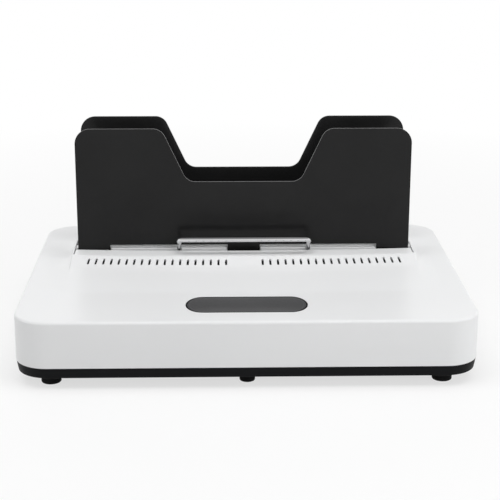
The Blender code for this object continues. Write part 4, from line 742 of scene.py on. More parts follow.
@dataclass(frozen=True)
class Measures:
    """Sizes that several sub-assemblies share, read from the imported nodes' boxes.

    Args:
        case_half: half the casing's width.
        case_front: the casing's front face in Y.
        case_back: the casing's rear face in Y.
        hump_top: top of the casing's raised middle.
        plate_half: half the plates' width.
        plate_top: top of the plates.
        front_face: the front plate's front face in Y.
        front_back: the front plate's rear face in Y.
        rear_back: the rear plate's rear face in Y.
        seam: height of the seam between casing and tray.
        foot_height: height of the tray's underside.
        corner: radius of the casing's plan corners.
        corner_steps: steps along one of them.
        spacing: the longest straight side of the plan outline.
        wall: thickness of the casing's wall.
        play: the small gap between neighbours.
        flange: how far a rear fitting's flange reaches past its body.
    """

    case_half: float
    case_front: float
    case_back: float
    hump_top: float
    plate_half: float
    plate_top: float
    front_face: float
    front_back: float
    rear_back: float
    seam: float
    foot_height: float
    corner: float = 0.030
    corner_steps: int = 20
    spacing: float = 0.004
    wall: float = 0.0025
    play: float = 0.0003
    flange: float = 0.0020

    @classmethod
    def read(cls, band: float = 0.0090) -> "Measures":
        """Read the measures from the frame.

        Args:
            band: height of the black band under the casing.

        Returns:
            The measures, in metres.
        """
        case_low, case_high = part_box("upper_housing")
        front_low, front_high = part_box("front_plate")
        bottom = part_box("base_tray")[0].z
        return cls(case_half=case_high.x, case_front=case_low.y, case_back=case_high.y,
                   hump_top=case_high.z, plate_half=front_high.x, plate_top=front_high.z,
                   front_face=front_low.y, front_back=front_high.y,
                   rear_back=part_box("rear_plate")[1].y, seam=bottom + band, foot_height=bottom)

    def plan(self, inset: float) -> Array:
        """Draw the casing's plan outline, drawn in by an inset.

        Each point moves the share inset / corner of its way to the core, the rectangle
        through the corners' centres, so that every inset has the same count of points.

        Args:
            inset: how far in it lies.

        Returns:
            The outline, anticlockwise.
        """
        middle = (0.0, (self.case_front + self.case_back) / 2)
        full = (self.case_half * 2, self.case_back - self.case_front)
        outer = rounded_rectangle(middle, full, self.corner, self.corner_steps)
        outer = subdivided(outer, self.spacing)
        inner_x = np.clip(outer[:, 0], self.corner - self.case_half, self.case_half - self.corner)
        inner_y = np.clip(outer[:, 1], self.case_front + self.corner, self.case_back - self.corner)
        core = np.column_stack([inner_x, inner_y])
        return core + (outer - core) * (1 - inset / self.corner)


# Casing

@dataclass
class Casing:
    """The white moulded casing with its bowed, slotted ramp, plate slot and panel recess."""

    size: Measures
    palette: Palette
    fillet: float = 0.0025
    top: float = 0.061
    rim_edge: float = 0.0004
    spacing: float = 0.004
    mouth: float = 0.0004
    outer_clearance: float = 0.00035
    inner_clearance: float = 0.001
    inner_thinning: int = 3

    # The slot and the lip in front of it
    slit_width: float = 0.0012
    slit_length: float = 0.0150
    well_gap: float = 0.0034
    well_corner: float = 0.0012
    lip_play: float = 0.0005
    lip_length: float = 0.0185
    lip_bow: float = 0.0065
    lip_points: int = 97
    skirt: float = 0.0022
    lip_skirt_bottom: float = 0.0655
    skirt_bottom: float = 0.0570

    # The raised middle
    steep_length: float = 0.0210
    crest_ease: float = 0.0008
    back_ease: float = 0.0022
    foot_ease: float = 0.0026
    hump_edge: float = 0.0014
    hump_draft: float = np.radians(8.5)
    hump_back_run: float = 0.0160
    hump_back_slope: float = 0.0120

    # The low swell round it
    swell_rise: float = 0.0045
    swell_length: float = 0.0550
    swell_least: float = 0.0040
    swell_crest: float = 0.0020
    swell_fall: float = 0.0400
    swell_side: float = 0.0240
    swell_outset: float = 0.0206
    swell_corner: float = 0.0380
    swell_shift: float = 0.0260
    swell_turn: float = 1.3
    swell_ease: float = 0.0060

    # Where the grid's rows start and stop to follow the lip's bow and the swell's front
    lead_in: float = 0.010
    lead_gap: float = 0.004
    turn_in: float = 0.020
    turn_out: float = 0.010

    # The slots in the steep face
    vent_count: int = 19
    vent_pitch: float = 0.00724
    vent_width: float = 0.0020
    vent_length: float = 0.0096
    vent_inner: float = 0.0173
    vent_setback: float = 0.0047
    vent_fan_radius: float = 1.25
    vent_edge: float = 0.00015
    vent_wall: float = 0.0010
    vent_flare: float = 0.0006

    # The touch panel's recess
    panel_end: float = 0.0150
    panel_sink: float = 0.0015
    panel_points: int = 41
    recess_edge: float = 0.0003

    # The pocket in the rear wall
    pocket_width: float = 0.0760
    pocket_height: float = 0.0275
    pocket_corner: float = 0.0030
    pocket_depth: float = 0.0020
    pocket_margin: float = 0.0010
    opening_corner: float = 0.0006
    inlet_offset: float = 0.0160
    backing: float = 0.0015

    def __post_init__(self) -> None:
        """Work out the lines that the top's shape follows."""
        size = self.size
        self.well_half = size.plate_half + self.well_gap
        self.lip_half = self.well_half - self.slit_width
        self.lip_back = size.front_face - self.lip_play - self.lip_bow
        self.well_back = size.rear_back + size.play
        self.steep_top = self.lip_back - self.lip_length
        self.steep_foot = self.steep_top - self.steep_length
        self.swell_front = self.steep_foot - self.swell_length
        self.swell_top = self.steep_top - self.swell_crest
        self.swell_back = self.swell_top + self.swell_fall
        self.swell_half = self.well_half + self.swell_outset
        self.hump_back = self.well_back + self.hump_back_run
        self.hump_foot = self.hump_back + self.hump_back_slope
        self.steep_slope = (size.hump_top - self.top - self.swell_rise) / self.steep_length
        self.foot_run = self.foot_ease / self.steep_slope

    def bow(self, x: Array) -> Array:
        """Return how far the lip's arc lies behind its middle, growing with the square of x."""
        return self.lip_bow * np.minimum(1.0, np.abs(x) / self.lip_half) ** 2

    def corner_shift(self, x: Array) -> Array:
        """Return how far the swell's front edge turns back towards its ends."""
        share = np.maximum(0.0, np.abs(x) - self.swell_half + self.swell_corner) / self.swell_corner
        return self.swell_shift * np.minimum(share, self.swell_turn) ** 2

    def swell(self, x: Array, y: Array) -> Array:
        """Work out the casing's flat top with its low swell.

        Along y the height rises in a straight ramp from the swell's front edge, stays level
        and falls again, each bend eased by a parabola. Across x it fades by a cosine.

        Args:
            x: the places across.
            y: the places in depth.

        Returns:
            The heights.
        """
        flat = self.swell_half - self.swell_side
        fade = (1 + np.cos(np.pi * np.clip((np.abs(x) - flat) / self.swell_side, 0.0, 1.0))) / 2
        front = self.swell_front + self.corner_shift(x)
        ramp = self.swell_rise / np.maximum(self.swell_least, self.steep_foot - front)
        fall = self.swell_rise / (self.swell_back - self.swell_top)
        rise = ramp * (eased(y - front, self.swell_ease) - eased(y - self.steep_foot, self.foot_ease))
        level, end = eased(y - self.swell_top, self.swell_ease), eased(y - self.swell_back, self.swell_ease)
        return self.top + fade * (rise - fall * (level - end))

    def block(self, x: Array, y: Array) -> Array:
        """Work out the raised middle alone, unbounded below.

        It is the lowest of three slopes: the steep face in front, eased where it meets the
        flat lip, the two drafted sides with their round edge, and the slope behind.

        Args:
            x: the places across.
            y: the places in depth.

        Returns:
            The heights.
        """
        top = self.size.hump_top
        crest = self.steep_top + self.bow(x)
        face = top - self.steep_slope * eased(crest - y, self.crest_ease)
        back = top - (top - self.top) / self.hump_back_slope * eased(y - self.hump_back, self.back_ease)
        out = np.maximum(0.0, np.abs(x) - self.well_half)
        turn = np.cos(self.hump_draft) * self.hump_edge
        arc = self.hump_edge - np.sqrt(np.maximum(0.0, self.hump_edge ** 2 - np.minimum(out, turn) ** 2))
        side = arc + np.maximum(0.0, out - turn) / np.tan(self.hump_draft)
        return np.minimum(face, back) - side

    def height(self, x: Array, y: Array) -> Array:
        """Work out the casing's top surface.

        It is the higher of swell and raised middle, with their meeting filled by
        near^2 * ease / 4, where near is 1 at the meeting and 0 at the ease's ends.

        Args:
            x: the places across.
            y: the places in depth.

        Returns:
            The heights.
        """
        low, high = self.swell(x, y), self.block(x, y)
        near = np.maximum(0.0, self.foot_ease - np.abs(high - low)) / self.foot_ease
        return np.maximum(low, high) + near ** 2 * self.foot_ease / 4

    def well(self, margin: float) -> Array:
        """Draw the slot's plan outline.

        Args:
            margin: how far it is grown.

        Returns:
            The outline, anticlockwise from the lip's left end.
        """
        across = np.linspace(-self.lip_half, self.lip_half, self.lip_points)
        lip = [(x, y, 0.0) for x, y in zip(across, self.lip_back + self.bow(across))]
        slit_end = self.lip_back + self.lip_bow - self.slit_length
        slit_round = self.slit_width * ROUND_SHARE
        right = [(self.lip_half, slit_end, slit_round), (self.well_half, slit_end, slit_round),
                 (self.well_half, self.well_back, self.well_corner)]
        left = [(-x, y, radius) for x, y, radius in reversed(right)]
        outline = subdivided(rounded_corners(lip + right + left, steps=6), self.spacing)
        return offset(outline, margin) if margin else outline

    def vents(self, margin: float = 0.0) -> list[Array]:
        """Draw the plan outline of each slot in the steep face.

        A slot is turned by x / fan radius, so that the slots fan out towards the front.

        Args:
            margin: how far each is grown.

        Returns:
            The outlines, the left row before the right one.
        """
        width, length = self.vent_width + margin * 2, self.vent_length + margin * 2
        straight = rounded_rectangle((0.0, 0.0), (width, length), width * ROUND_SHARE, steps=5)
        steps = np.arange(self.vent_count) * self.vent_pitch + self.vent_inner
        outlines = []
        for x in np.concatenate([-steps, steps]):
            middle = self.steep_top - self.vent_setback - self.vent_length / 2 + self.bow(x)
            turn = np.array(Matrix.Rotation(x / self.vent_fan_radius, 2))
            outlines.append(straight @ turn.T + (x, middle))
        return outlines

    def panel(self, margin: float) -> Array:
        """Draw the touch panel's outline: two straight sides and two elliptical ends.

        Args:
            margin: how far it is grown.

        Returns:
            The outline, anticlockwise from the right end.
        """
        low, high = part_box("touch_panel")
        half_depth = (high.y - low.y) / 2 + margin
        straight = high.x - self.panel_end
        angle = np.linspace(-QUARTER, QUARTER, self.panel_points)
        side_x = straight + (self.panel_end + margin) * np.cos(angle)
        side_y = half_depth * np.sin(angle)
        ring = np.vstack([np.column_stack([side_x, side_y]), np.column_stack([-side_x, -side_y])])
        return subdivided(ring + (0.0, (low.y + high.y) / 2), self.spacing)

    def rows(self) -> Array:
        """Place the grid's rows in y at x = 0, dense where the top bends.

        Each stop is a place, with the step in millimetres that holds from there on.

        Returns:
            The places, from the front to the back.
        """
        size = self.size
        stops = ((size.case_front, 5.0), (self.swell_front - self.swell_ease, 1.0),
                 (self.swell_front + self.swell_ease, 4.0), (self.steep_foot - self.foot_run, 1.0),
                 (self.steep_foot + self.foot_run, 2.0), (self.steep_top - self.crest_ease * 2, 0.25),
                 (self.steep_top + self.crest_ease * 2, 2.0),
                 (self.swell_back - self.swell_ease, 1.5), (self.swell_back + self.swell_ease, 4.0),
                 (self.hump_back - self.back_ease, 0.4), (self.hump_back + self.back_ease, 1.5),
                 (self.hump_foot - self.foot_ease, 0.5), (self.hump_foot + self.foot_ease, 4.0),
                 (size.case_back, 5.0))
        parts = []
        for (start, millimetres), (end, _) in zip(stops, stops[1:]):
            count = max(1, int(round((end - start) / (millimetres * MM))))
            parts.append(np.linspace(start, end, count, endpoint=False))
        return np.concatenate(parts)

    def columns(self) -> Array:
        """Place the grid's columns in x, dense at the sides of the raised middle.

        Returns:
            The places, from the left to the right.
        """
        middle_count, arc_count, side_count, foot_count = 64, 7, 10, 8
        first_step = 0.1
        edge = self.well_half
        arc = edge + self.hump_edge * np.sin(np.linspace(0.0, QUARTER - self.hump_draft, arc_count))
        drop = (self.size.hump_top - self.top) * np.tan(self.hump_draft)
        side = np.linspace(arc[-1], arc[-1] + drop, side_count)[1:]
        foot = side[-1] + np.linspace(first_step, 1.0, foot_count) * self.foot_ease
        outer = np.arange(foot[-1] + self.spacing / 2, self.size.case_half, self.spacing)
        middle = np.linspace(0.0, edge, middle_count, endpoint=False)
        right = np.concatenate([middle, arc, side, foot, outer])
        return np.concatenate([-right[:0:-1], right])

    def grid_points(self) -> Array:
        """Place the points that carry the top's shape, on rows that follow its bends.

        A row lies at v + bow(x) * a + corner_shift(x) * b, where a is 1 about the steep
        face and fades before and behind it, and b is 1 about the swell's front edge.

        Returns:
            The points in the plane, one row each.
        """
        x, v = np.meshgrid(self.columns(), self.rows())
        ends = [0.0, 1.0, 1.0, 0.0]
        face = [self.swell_front + self.lead_in, self.steep_foot - self.lead_gap,
                self.steep_top + self.lead_gap, self.swell_back]
        edge = [self.size.case_front + self.turn_in, self.swell_front - self.swell_ease,
                self.swell_front + self.swell_ease, self.steep_foot - self.turn_out]
        y = v + self.bow(x) * np.interp(v, face, ends) + self.corner_shift(x) * np.interp(v, edge, ends)
        return np.column_stack([x.ravel(), y.ravel()])

    def rolled_mouth(self, skin: Skin, hole: Array, radius: float, bottom: Array | float) -> Array:
        """Add the rounded mouth and the straight wall of an opening in the top.

        Over the mouth the outline is grown by radius * (1 - sin a) while it sinks by
        radius * (1 - cos a) below the top's surface, for the angle a over a quarter turn.

        Args:
            skin: the skin that the wall joins.
            hole: the opening's plan outline.
            radius: the mouth's radius.
            bottom: height of the wall's lower end.

        Returns:
            The outline that the top's surface ends at.
        """
        loops = []
        for growth, drop in rolled(radius):
            ring = offset(hole, growth)
            loops.append((ring, self.height(ring[:, 0], ring[:, 1]) - drop))
        skin.rings("Z", *loops, (hole, bottom))
        return offset(hole, radius)

    def pocket_places(self) -> tuple[Array, Array, Array]:
        """Draw the rear pocket and its two openings, in X and Z.

        Returns:
            The outlines of the pocket, the inlet's opening and the switch's opening.
        """
        inlet_x, _, centre_z = middle_of("power_inlet")
        middle = (inlet_x - self.inlet_offset, centre_z)
        full = (self.pocket_width, self.pocket_height)
        pocket = rounded_rectangle(middle, full, self.pocket_corner, steps=6)
        openings = []
        for node in ("power_inlet", "switch_frame"):
            low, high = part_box(node)
            reach = (self.size.flange - self.size.play) * 2
            full = (high.x - low.x - reach, high.z - low.z - reach)
            middle = (middle_of(node)[0], centre_z)
            openings.append(rounded_rectangle(middle, full, self.opening_corner, steps=3))
        return pocket, openings[0], openings[1]

    def build(self) -> None:
        """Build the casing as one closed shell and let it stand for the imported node."""
        skin = Skin("casing_shell")
        size = self.size
        holes, floors = [], []
        for vent, relief in zip(self.vents(), self.vents(self.vent_flare)):
            waist = self.height(vent[:, 0], vent[:, 1]) - self.vent_wall
            holes.append(self.rolled_mouth(skin, vent, self.vent_edge, waist))
            lower = self.height(relief[:, 0], relief[:, 1]) - size.wall
            skin.rings("Z", (vent, waist), (relief, waist), (relief, lower))
            floors.append(relief)
        well = self.well(0.0)
        bottom = np.where(well[:, 1] < size.front_back, self.lip_skirt_bottom, self.skirt_bottom)
        holes.append(self.rolled_mouth(skin, well, self.mouth, bottom))
        behind = self.well(self.skirt)
        lower = self.height(behind[:, 0], behind[:, 1]) - size.wall
        skin.rings("Z", (well, bottom), (behind, bottom), (behind, lower))
        floors.append(behind)
        recess = self.panel(size.play)
        floor = self.top - self.panel_sink
        holes.append(self.rolled_mouth(skin, recess, self.recess_edge, floor))
        skin.fill("Z", floor, recess)

        points = self.grid_points()
        flat, triangles = sheet(size.plan(self.fillet), holes, points, self.outer_clearance)
        skin.add(laid(flat, "Z", self.height(flat[:, 0], flat[:, 1])), triangles)
        rim = size.plan(size.wall + self.fillet)
        flat, triangles = sheet(rim, floors, points[::self.inner_thinning], self.inner_clearance)
        skin.add(laid(flat, "Z", self.height(flat[:, 0], flat[:, 1]) - size.wall), triangles)

        self.sides(skin)
        self.palette.place(skin, "white_moulding", "machine", "upper_housing")

    def sides(self, skin: Skin) -> None:
        """Add the side walls with their round upper edge, lower rim and rear pocket.

        Args:
            skin: the casing's skin.
        """
        size = self.size
        ceiling = self.top - size.wall
        bottom = size.seam + size.play
        edge = rolled(self.fillet, steps=8)
        skin.rings("Z", *[(size.plan(inset), self.top - drop) for inset, drop in edge])
        self.wall_band(skin, 0.0, self.top - self.fillet, bottom + self.rim_edge, False)
        rim = [(size.plan(inset), bottom + rise) for rise, inset in rolled(self.rim_edge, steps=8)]
        skin.rings("Z", *rim, (size.plan(size.wall), bottom))
        self.wall_band(skin, size.wall, ceiling - self.fillet, bottom, True)
        skin.rings("Z", *[(size.plan(size.wall + inset), ceiling - drop) for inset, drop in edge])

    def wall_band(self, skin: Skin, inset: float, upper: float, lower: float, inner: bool) -> None:
        """Add one upright face of the wall, with the pocket or its backing in the rear.

        Args:
            skin: the skin that the wall joins.
            inset: how far the face is drawn in.
            upper: height of its upper end.
            lower: height of its lower end.
            inner: whether this is the face inside the casing.
        """
        ring = self.size.plan(inset)
        pocket, inlet, switch = self.pocket_places()
        shape = offset(pocket, self.backing) if inner else pocket
        back = self.size.case_back - inset
        x_low, x_high = shape[:, 0].min() - self.pocket_margin, shape[:, 0].max() + self.pocket_margin
        following = np.roll(ring, -1, axis=0)
        rear = np.minimum(ring[:, 1], following[:, 1]) > back - PLACE_SLACK
        over = rear & (np.maximum(ring[:, 0], following[:, 0]) > x_low)
        over &= np.minimum(ring[:, 0], following[:, 0]) < x_high
        count = len(ring)
        index = np.arange(count)
        faces = np.stack([index, (index + 1) % count, (index + 1) % count + count, index + count], axis=-1)
        skin.add(np.vstack([laid(ring, "Z", upper), laid(ring, "Z", lower)]), faces[~over])
        held = ring[over | np.roll(over, 1)]
        held = held[np.argsort(held[:, 0])]
        rim = np.vstack([np.column_stack([held[:, 0], np.full(len(held), lower)]),
                         np.column_stack([held[::-1, 0], np.full(len(held), upper)])])
        floor = self.size.case_back - self.pocket_depth
        inside_face = floor - self.size.wall
        if inner:
            skin.fill("Y", back, rim, [shape])
            skin.rings("Y", (shape, back), (shape, inside_face))
            skin.fill("Y", inside_face, shape, [inlet, switch])
            return
        skin.fill("Y", back, rim, [offset(shape, self.mouth)])
        mouth = [(offset(shape, growth), back - drop) for growth, drop in rolled(self.mouth)]
        skin.rings("Y", *mouth, (shape, floor))
        skin.fill("Y", floor, shape, [inlet, switch])
        for opening in (inlet, switch):
            skin.rings("Y", (opening, floor), (opening, inside_face))


def eased(run: Array, ease: float) -> Array:
    """Bend a ramp that is zero below zero and equal to the run above it.

    Between -ease and ease it follows the parabola (run + ease)^2 / (4 * ease).

    Args:
        run: the distances from the bend.
        ease: how far the parabola reaches to either side.

    Returns:
        The ramp's rise at each distance.
    """
    bent = (np.clip(run, -ease, ease) + ease) ** 2 / (4 * ease)
    return np.where(run > ease, run, bent)


# Tray and feet

@dataclass
class BaseTray:
    """The black tray that closes the casing from below, with its slots and six feet."""

    size: Measures
    palette: Palette
    inset: float = 0.0002
    taper: float = 0.0015
    bevel: float = 0.0006
    floor: float = 0.0025
    tongue: float = 0.0040
    wall: float = 0.0022
    slot_count: int = 11
    slot_width: float = 0.0030
    slot_length: float = 0.0320
    slot_pitch: float = 0.0160
    screw_count: int = 4
    sink_radius: float = 0.0036
    sink_depth: float = 0.0014
    shank_radius: float = 0.0018
    edge: float = 0.0003
    foot_taper: float = 0.0003
    foot_round: float = 0.0011
    foot_dish: float = 0.0006
    foot_rib: float = 0.0003
    dish_share: float = 0.62
    dish_points: int = 5
    groove_share: float = 0.42
    foot_sharp: float = 60.0

    def slots(self) -> list[Array]:
        """Draw the plan outlines of the slots under the heating plate.

        Returns:
            The outlines, from the left to the right.
        """
        middle = middle_of("heating_plate")[1]
        full = (self.slot_width, self.slot_length)
        places = (np.arange(self.slot_count) - (self.slot_count - 1) / 2) * self.slot_pitch
        return [rounded_rectangle((x, middle), full, self.slot_width * ROUND_SHARE, steps=6) for x in places]

    def round_holes(self, radius: float) -> list[Array]:
        """Return a circle round the place of each screw that holds the casing."""
        nodes = [f"housing_screw_{number + 1}" for number in range(self.screw_count)]
        return [circle(middle_of(node)[:2], radius) for node in nodes]

    def build(self) -> None:
        """Build the tray and its feet."""
        skin = Skin("base_tray_shell")
        size = self.size
        bottom = size.foot_height
        floor = bottom + self.floor
        top = size.seam + self.tongue
        tongue = size.wall + size.play
        lower = self.inset + self.taper
        bevel = [(lower + inset, bottom + rise) for rise, inset in reversed(rolled(self.bevel, steps=5))]
        walls = [*bevel, (self.inset, size.seam), (tongue, size.seam), (tongue, top),
                 (tongue + self.wall, top), (tongue + self.wall, floor)]
        skin.rings("Z", *[(size.plan(inset), height) for inset, height in walls])
        slots = self.slots()
        sinks, bores = self.round_holes(self.sink_radius), self.round_holes(self.shank_radius)
        mouths = [offset(hole, self.edge) for hole in slots + sinks]
        skin.fill("Z", bottom, size.plan(lower + self.bevel), mouths)
        skin.fill("Z", floor, size.plan(tongue + self.wall), slots + bores)
        depths = [self.floor] * len(slots) + [self.sink_depth] * len(sinks)
        for hole, depth in zip(slots + sinks, depths):
            mouth = [(offset(hole, growth), bottom + rise) for growth, rise in rolled(self.edge, steps=3)]
            skin.rings("Z", *mouth, (hole, bottom + depth))
        ledge = bottom + self.sink_depth
        for sink, bore in zip(sinks, bores):
            skin.rings("Z", (sink, ledge), (bore, ledge), (bore, floor))
        self.palette.place(skin, "black_moulding", "machine", "base_tray")
        for node in sorted(frame["nodes"]):
            if node.startswith("foot_"):
                self.foot(node)

    def foot(self, node: str) -> None:
        """Turn one rubber foot: a pad with a round lower edge, a ring groove and a shallow dish.

        The dish rises to depth * (1 - share^2), for the share of its radius.

        Args:
            node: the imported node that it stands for.
        """
        low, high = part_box(node)
        centre = (*middle_of(node)[:2], low.z)
        radius = (high.x - low.x) / 2
        foot = radius - self.foot_taper
        share = np.linspace(0.0, 1.0, self.dish_points)
        profile = list(zip(foot * self.dish_share * share, self.foot_dish * (1 - share ** 2)))
        profile += [(foot - inset, rise) for inset, rise in rolled(self.foot_round, steps=6)]
        shoulder, rib = self.size.foot_height - self.size.play, self.foot_rib
        groove = shoulder * self.groove_share
        profile += [(foot, groove - rib), (foot - rib, groove), (foot - rib, groove + rib),
                    (foot, groove + rib * 2), (radius, shoulder - rib), (radius - rib, shoulder),
                    (0.0, shoulder)]
        skin = Skin(f"{node}_pad")
        skin.lathe(profile, centre)
        self.palette.place(skin, "foot_rubber", "machine", node, sharp=self.foot_sharp)


def circle(centre: Sequence[float], radius: float, steps: int = 32) -> Array:
    """Return a circle's outline, anticlockwise."""
    angle = np.linspace(0.0, 2 * np.pi, steps, endpoint=False)
    return np.asarray(centre, float) + radius * np.column_stack([np.cos(angle), np.sin(angle)])


# Plates

@dataclass
class BindingPlates:
    """The two black coated plates that the sheets stand between."""

    size: Measures
    palette: Palette
    corner: float = 0.0145
    notch_top_inset: float = 0.0819
    notch_bottom_inset: float = 0.1060
    notch_bottom: float = 0.1383
    notch_radius: float = 0.0125
    tab_width: float = 0.0310
    plate_bottom: float = 0.0760
    tab_corner: float = 0.0010
    edge: float = 0.0004
    head_radius: float = 0.0028
    screw_count: int = 3

    def upper_corners(self) -> list[tuple[float, float, float]]:
        """Place the corners that both plates share.

        Returns:
            (x, z, radius) of each, from the right to the left.
        """
        size = self.size
        half = [(size.plate_half, size.plate_top, self.corner),
                (size.plate_half - self.notch_top_inset, size.plate_top, self.notch_radius),
                (size.plate_half - self.notch_bottom_inset, self.notch_bottom, self.notch_radius)]
        return half + [(-x, z, radius) for x, z, radius in reversed(half)]

    def screw_holes(self, name: str) -> list[Array]:
        """Return the outline of the countersunk hole round each screw of a plate."""
        nodes = [f"{name}_screw_{number + 1}" for number in range(self.screw_count)]
        return [circle(middle_of(node)[[0, 2]], self.head_radius) for node in nodes]

    def build(self) -> None:
        """Build both plates."""
        size = self.size
        low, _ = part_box("front_plate")
        middle = size.plate_half - self.tab_width / 2
        corners = []
        for centre in (-middle, 0.0, middle):
            left, right = centre - self.tab_width / 2, centre + self.tab_width / 2
            if left > -size.plate_half:
                corners.append((left, self.plate_bottom, self.tab_corner))
            corners += [(left, low.z, self.tab_corner), (right, low.z, self.tab_corner)]
            if right < size.plate_half:
                corners.append((right, self.plate_bottom, self.tab_corner))
        self.plate("front_plate", corners, "carriage")
        low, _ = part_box("rear_plate")
        corners = [(-size.plate_half, low.z, self.tab_corner), (size.plate_half, low.z, self.tab_corner)]
        self.plate("rear_plate", corners, "machine")

    def plate(self, name: str, lower: list[tuple[float, float, float]], body: str) -> None:
        """Build one plate.

        Args:
            name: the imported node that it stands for.
            lower: its lower corners, from the left to the right.
            body: the body it moves with.
        """
        low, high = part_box(name)
        outline = rounded_corners(lower + self.upper_corners(), steps=14)
        skin = Skin(f"{name}_sheet")
        slab(skin, "Y", outline, low.y, high.y, self.edge, self.screw_holes(name))
        self.palette.place(skin, "coated_steel", body, name)


# Carriage

@dataclass
class Carriage:
    """The sliding carriage: white bar, ledges, arms and bearings, a dark apron of painted shade under the
    slot, and pull bar.
    """

    size: Measures
    palette: Palette
    edge: float = 0.0004
    bar_depth: float = 0.0070
    bar_height: float = 0.0145
    bar_round: float = 0.0015
    bar_top: float = 0.0745
    # The apron is a black sheet of painted shade, seen through the slot and the vents
    shade_apron_thickness: float = 0.0012
    shade_apron_end_gap: float = 0.0025
    shade_apron_nose: float = 0.4
    arm_width: float = 0.0070
    arm_depth: float = 0.0080
    arm_setback: float = 0.0010
    arm_round: float = 0.0010
    bearing_radius: float = 0.0072
    bore_radius: float = 0.00485
    bearing_length: float = 0.0200
    tab_width: float = 0.0310
    ledge_drop: float = 0.0019
    ledge_gap: float = 0.0008
    ledge_round: float = 0.0006
    wire_radius: float = 0.00245
    wire_bend: float = 0.0030
    wire_socket_rise: float = 0.0072
    wire_stand: float = 0.0060
    wire_knee_rise: float = 0.0030
    boss_width: float = 0.0010
    boss_height: float = 0.0004
    boss_root: float = 0.0004
    boss_press: float = 0.0002
    boss_ease: float = 0.0003

    def __post_init__(self) -> None:
        """Work out where the bar's lower and front faces and the ends of the painted-shade apron lie."""
        self.bottom = self.bar_top - self.bar_height
        self.front = self.size.front_back + self.size.play
        self.half = self.size.plate_half - self.shade_apron_end_gap

    def build(self) -> None:
        """Build the carriage, its dark apron of painted shade and the pull bar."""
        back = self.front + self.bar_depth
        soft = self.edge * 2
        profile = rounded_corners([(self.front, self.bottom, soft), (back, self.bottom, soft),
                                   (back, self.bar_top, self.bar_round),
                                   (self.front, self.bar_top, self.bar_round)], steps=6)
        skin = Skin("carriage_moulding")
        slab(skin, "X", profile, -self.half, self.half, self.edge)
        self.ledges(skin)
        for side in (-1, 1):
            self.arm(skin, side)
            self.boss(skin, side)
        self.palette.place(skin, "white_moulding", "carriage", "carriage")
        self.apron()
        self.pull_bar()

    def arm(self, skin: Skin, side: int) -> None:
        """Add the arm and the round bearing that hold the bar on one rod.

        Args:
            skin: the carriage's skin.
            side: -1 for the left, 1 for the right.
        """
        low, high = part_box("carriage")
        axis = low.z + self.bearing_radius
        outer = side * (high.x - self.bearing_radius - self.arm_setback)
        inner = outer - side * self.arm_width
        foot, top = axis + self.bore_radius + self.edge, self.bar_top - self.bar_round
        arm = rounded_rectangle((self.front + self.arm_depth / 2, (foot + top) / 2),
                                (self.arm_depth, top - foot), self.arm_round, steps=4)
        slab(skin, "X", arm, min(outer, inner), max(outer, inner), self.edge)
        radius, length, edge = self.bearing_radius, self.bearing_length, self.edge
        ring = [(self.bore_radius, 0.0), (radius - edge, 0.0), (radius, edge), (radius, length - edge),
                (radius - edge, length), (self.bore_radius, length), (self.bore_radius, 0.0)]
        skin.lathe(ring, (side * (high.x - radius), self.front, axis), "Y")

    def ledges(self, skin: Skin) -> None:
        """Add the ledges that show under the front plate, between its tabs.

        Args:
            skin: the carriage's skin.
        """
        face, front = self.size.front_face, self.front
        top = self.bar_top - self.ledge_drop
        foot = self.bottom + self.shade_apron_thickness - self.edge
        profile = rounded_corners([(face, foot, self.ledge_round), (front, foot, 0.0),
                                   (front, top, 0.0), (face, top, self.ledge_round)], steps=5)
        inner = self.tab_width / 2 + self.ledge_gap
        outer = self.size.plate_half - self.tab_width - self.ledge_gap
        slab(skin, "X", profile, inner, outer, self.edge)
        slab(skin, "X", profile, -outer, -inner, self.edge)

    def apron(self) -> None:
        """Build the thin black sheet in front of the bar, which paints shade on what is seen through the
        slot and the vents.
        """
        start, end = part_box("carriage")[0].y, self.front - self.size.play
        profile = rounded_rectangle(((start + end) / 2, self.bottom + self.shade_apron_thickness / 2),
                                    (end - start, self.shade_apron_thickness),
                                    self.shade_apron_thickness * self.shade_apron_nose, steps=5)
        # A black sheet of painted shade under the slot and the vents
        skin = Skin("carriage_shade_apron")
        slab(skin, "X", profile, -self.half, self.half, self.edge)
        self.palette.place(skin, "black_moulding", "carriage")

    def wire_half(self) -> float:
        """Return half the distance between the wire's legs, middle to middle."""
        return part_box("pull_bar")[1].x - self.wire_radius

    def boss(self, skin: Skin, side: int) -> None:
        """Add the small round collar that a leg of the pull bar is pressed into.

        Args:
            skin: the carriage's skin.
            side: -1 for the left, 1 for the right.
        """
        inner = self.wire_radius - self.boss_press
        outer = self.wire_radius + self.boss_width
        root, height = self.boss_root, self.boss_height
        ring = [(inner, root), (outer, root), (outer, root / 2 - height), (outer - self.boss_ease, -height),
                (inner, -height), (inner, root)]
        centre = (side * self.wire_half(), self.size.front_face, self.bottom + self.wire_socket_rise)
        skin.lathe(ring, centre, "Y", steps=32)

    def pull_bar(self) -> None:
        """Build the bent chromed wire, as a tube along straight runs and round bends."""
        low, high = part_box("pull_bar")
        half = self.wire_half()
        socket = self.bottom + self.wire_socket_rise
        knee = socket + self.wire_bend + self.wire_knee_rise
        leg_y = self.front - self.wire_stand
        bar_y, bar_z = low.y + self.wire_radius, high.z - self.wire_radius
        corners = [(-half, high.y, socket), (-half, leg_y, socket), (-half, leg_y, knee),
                   (-half, bar_y, bar_z)]
        corners += [(-x, y, z) for x, y, z in reversed(corners)]
        path, across = bent_path(np.array(corners), self.wire_bend)
        skin = Skin("pull_bar_wire")
        skin.tube(path, self.wire_radius, across)
        self.palette.place(skin, "chromed_wire", "carriage", "pull_bar")


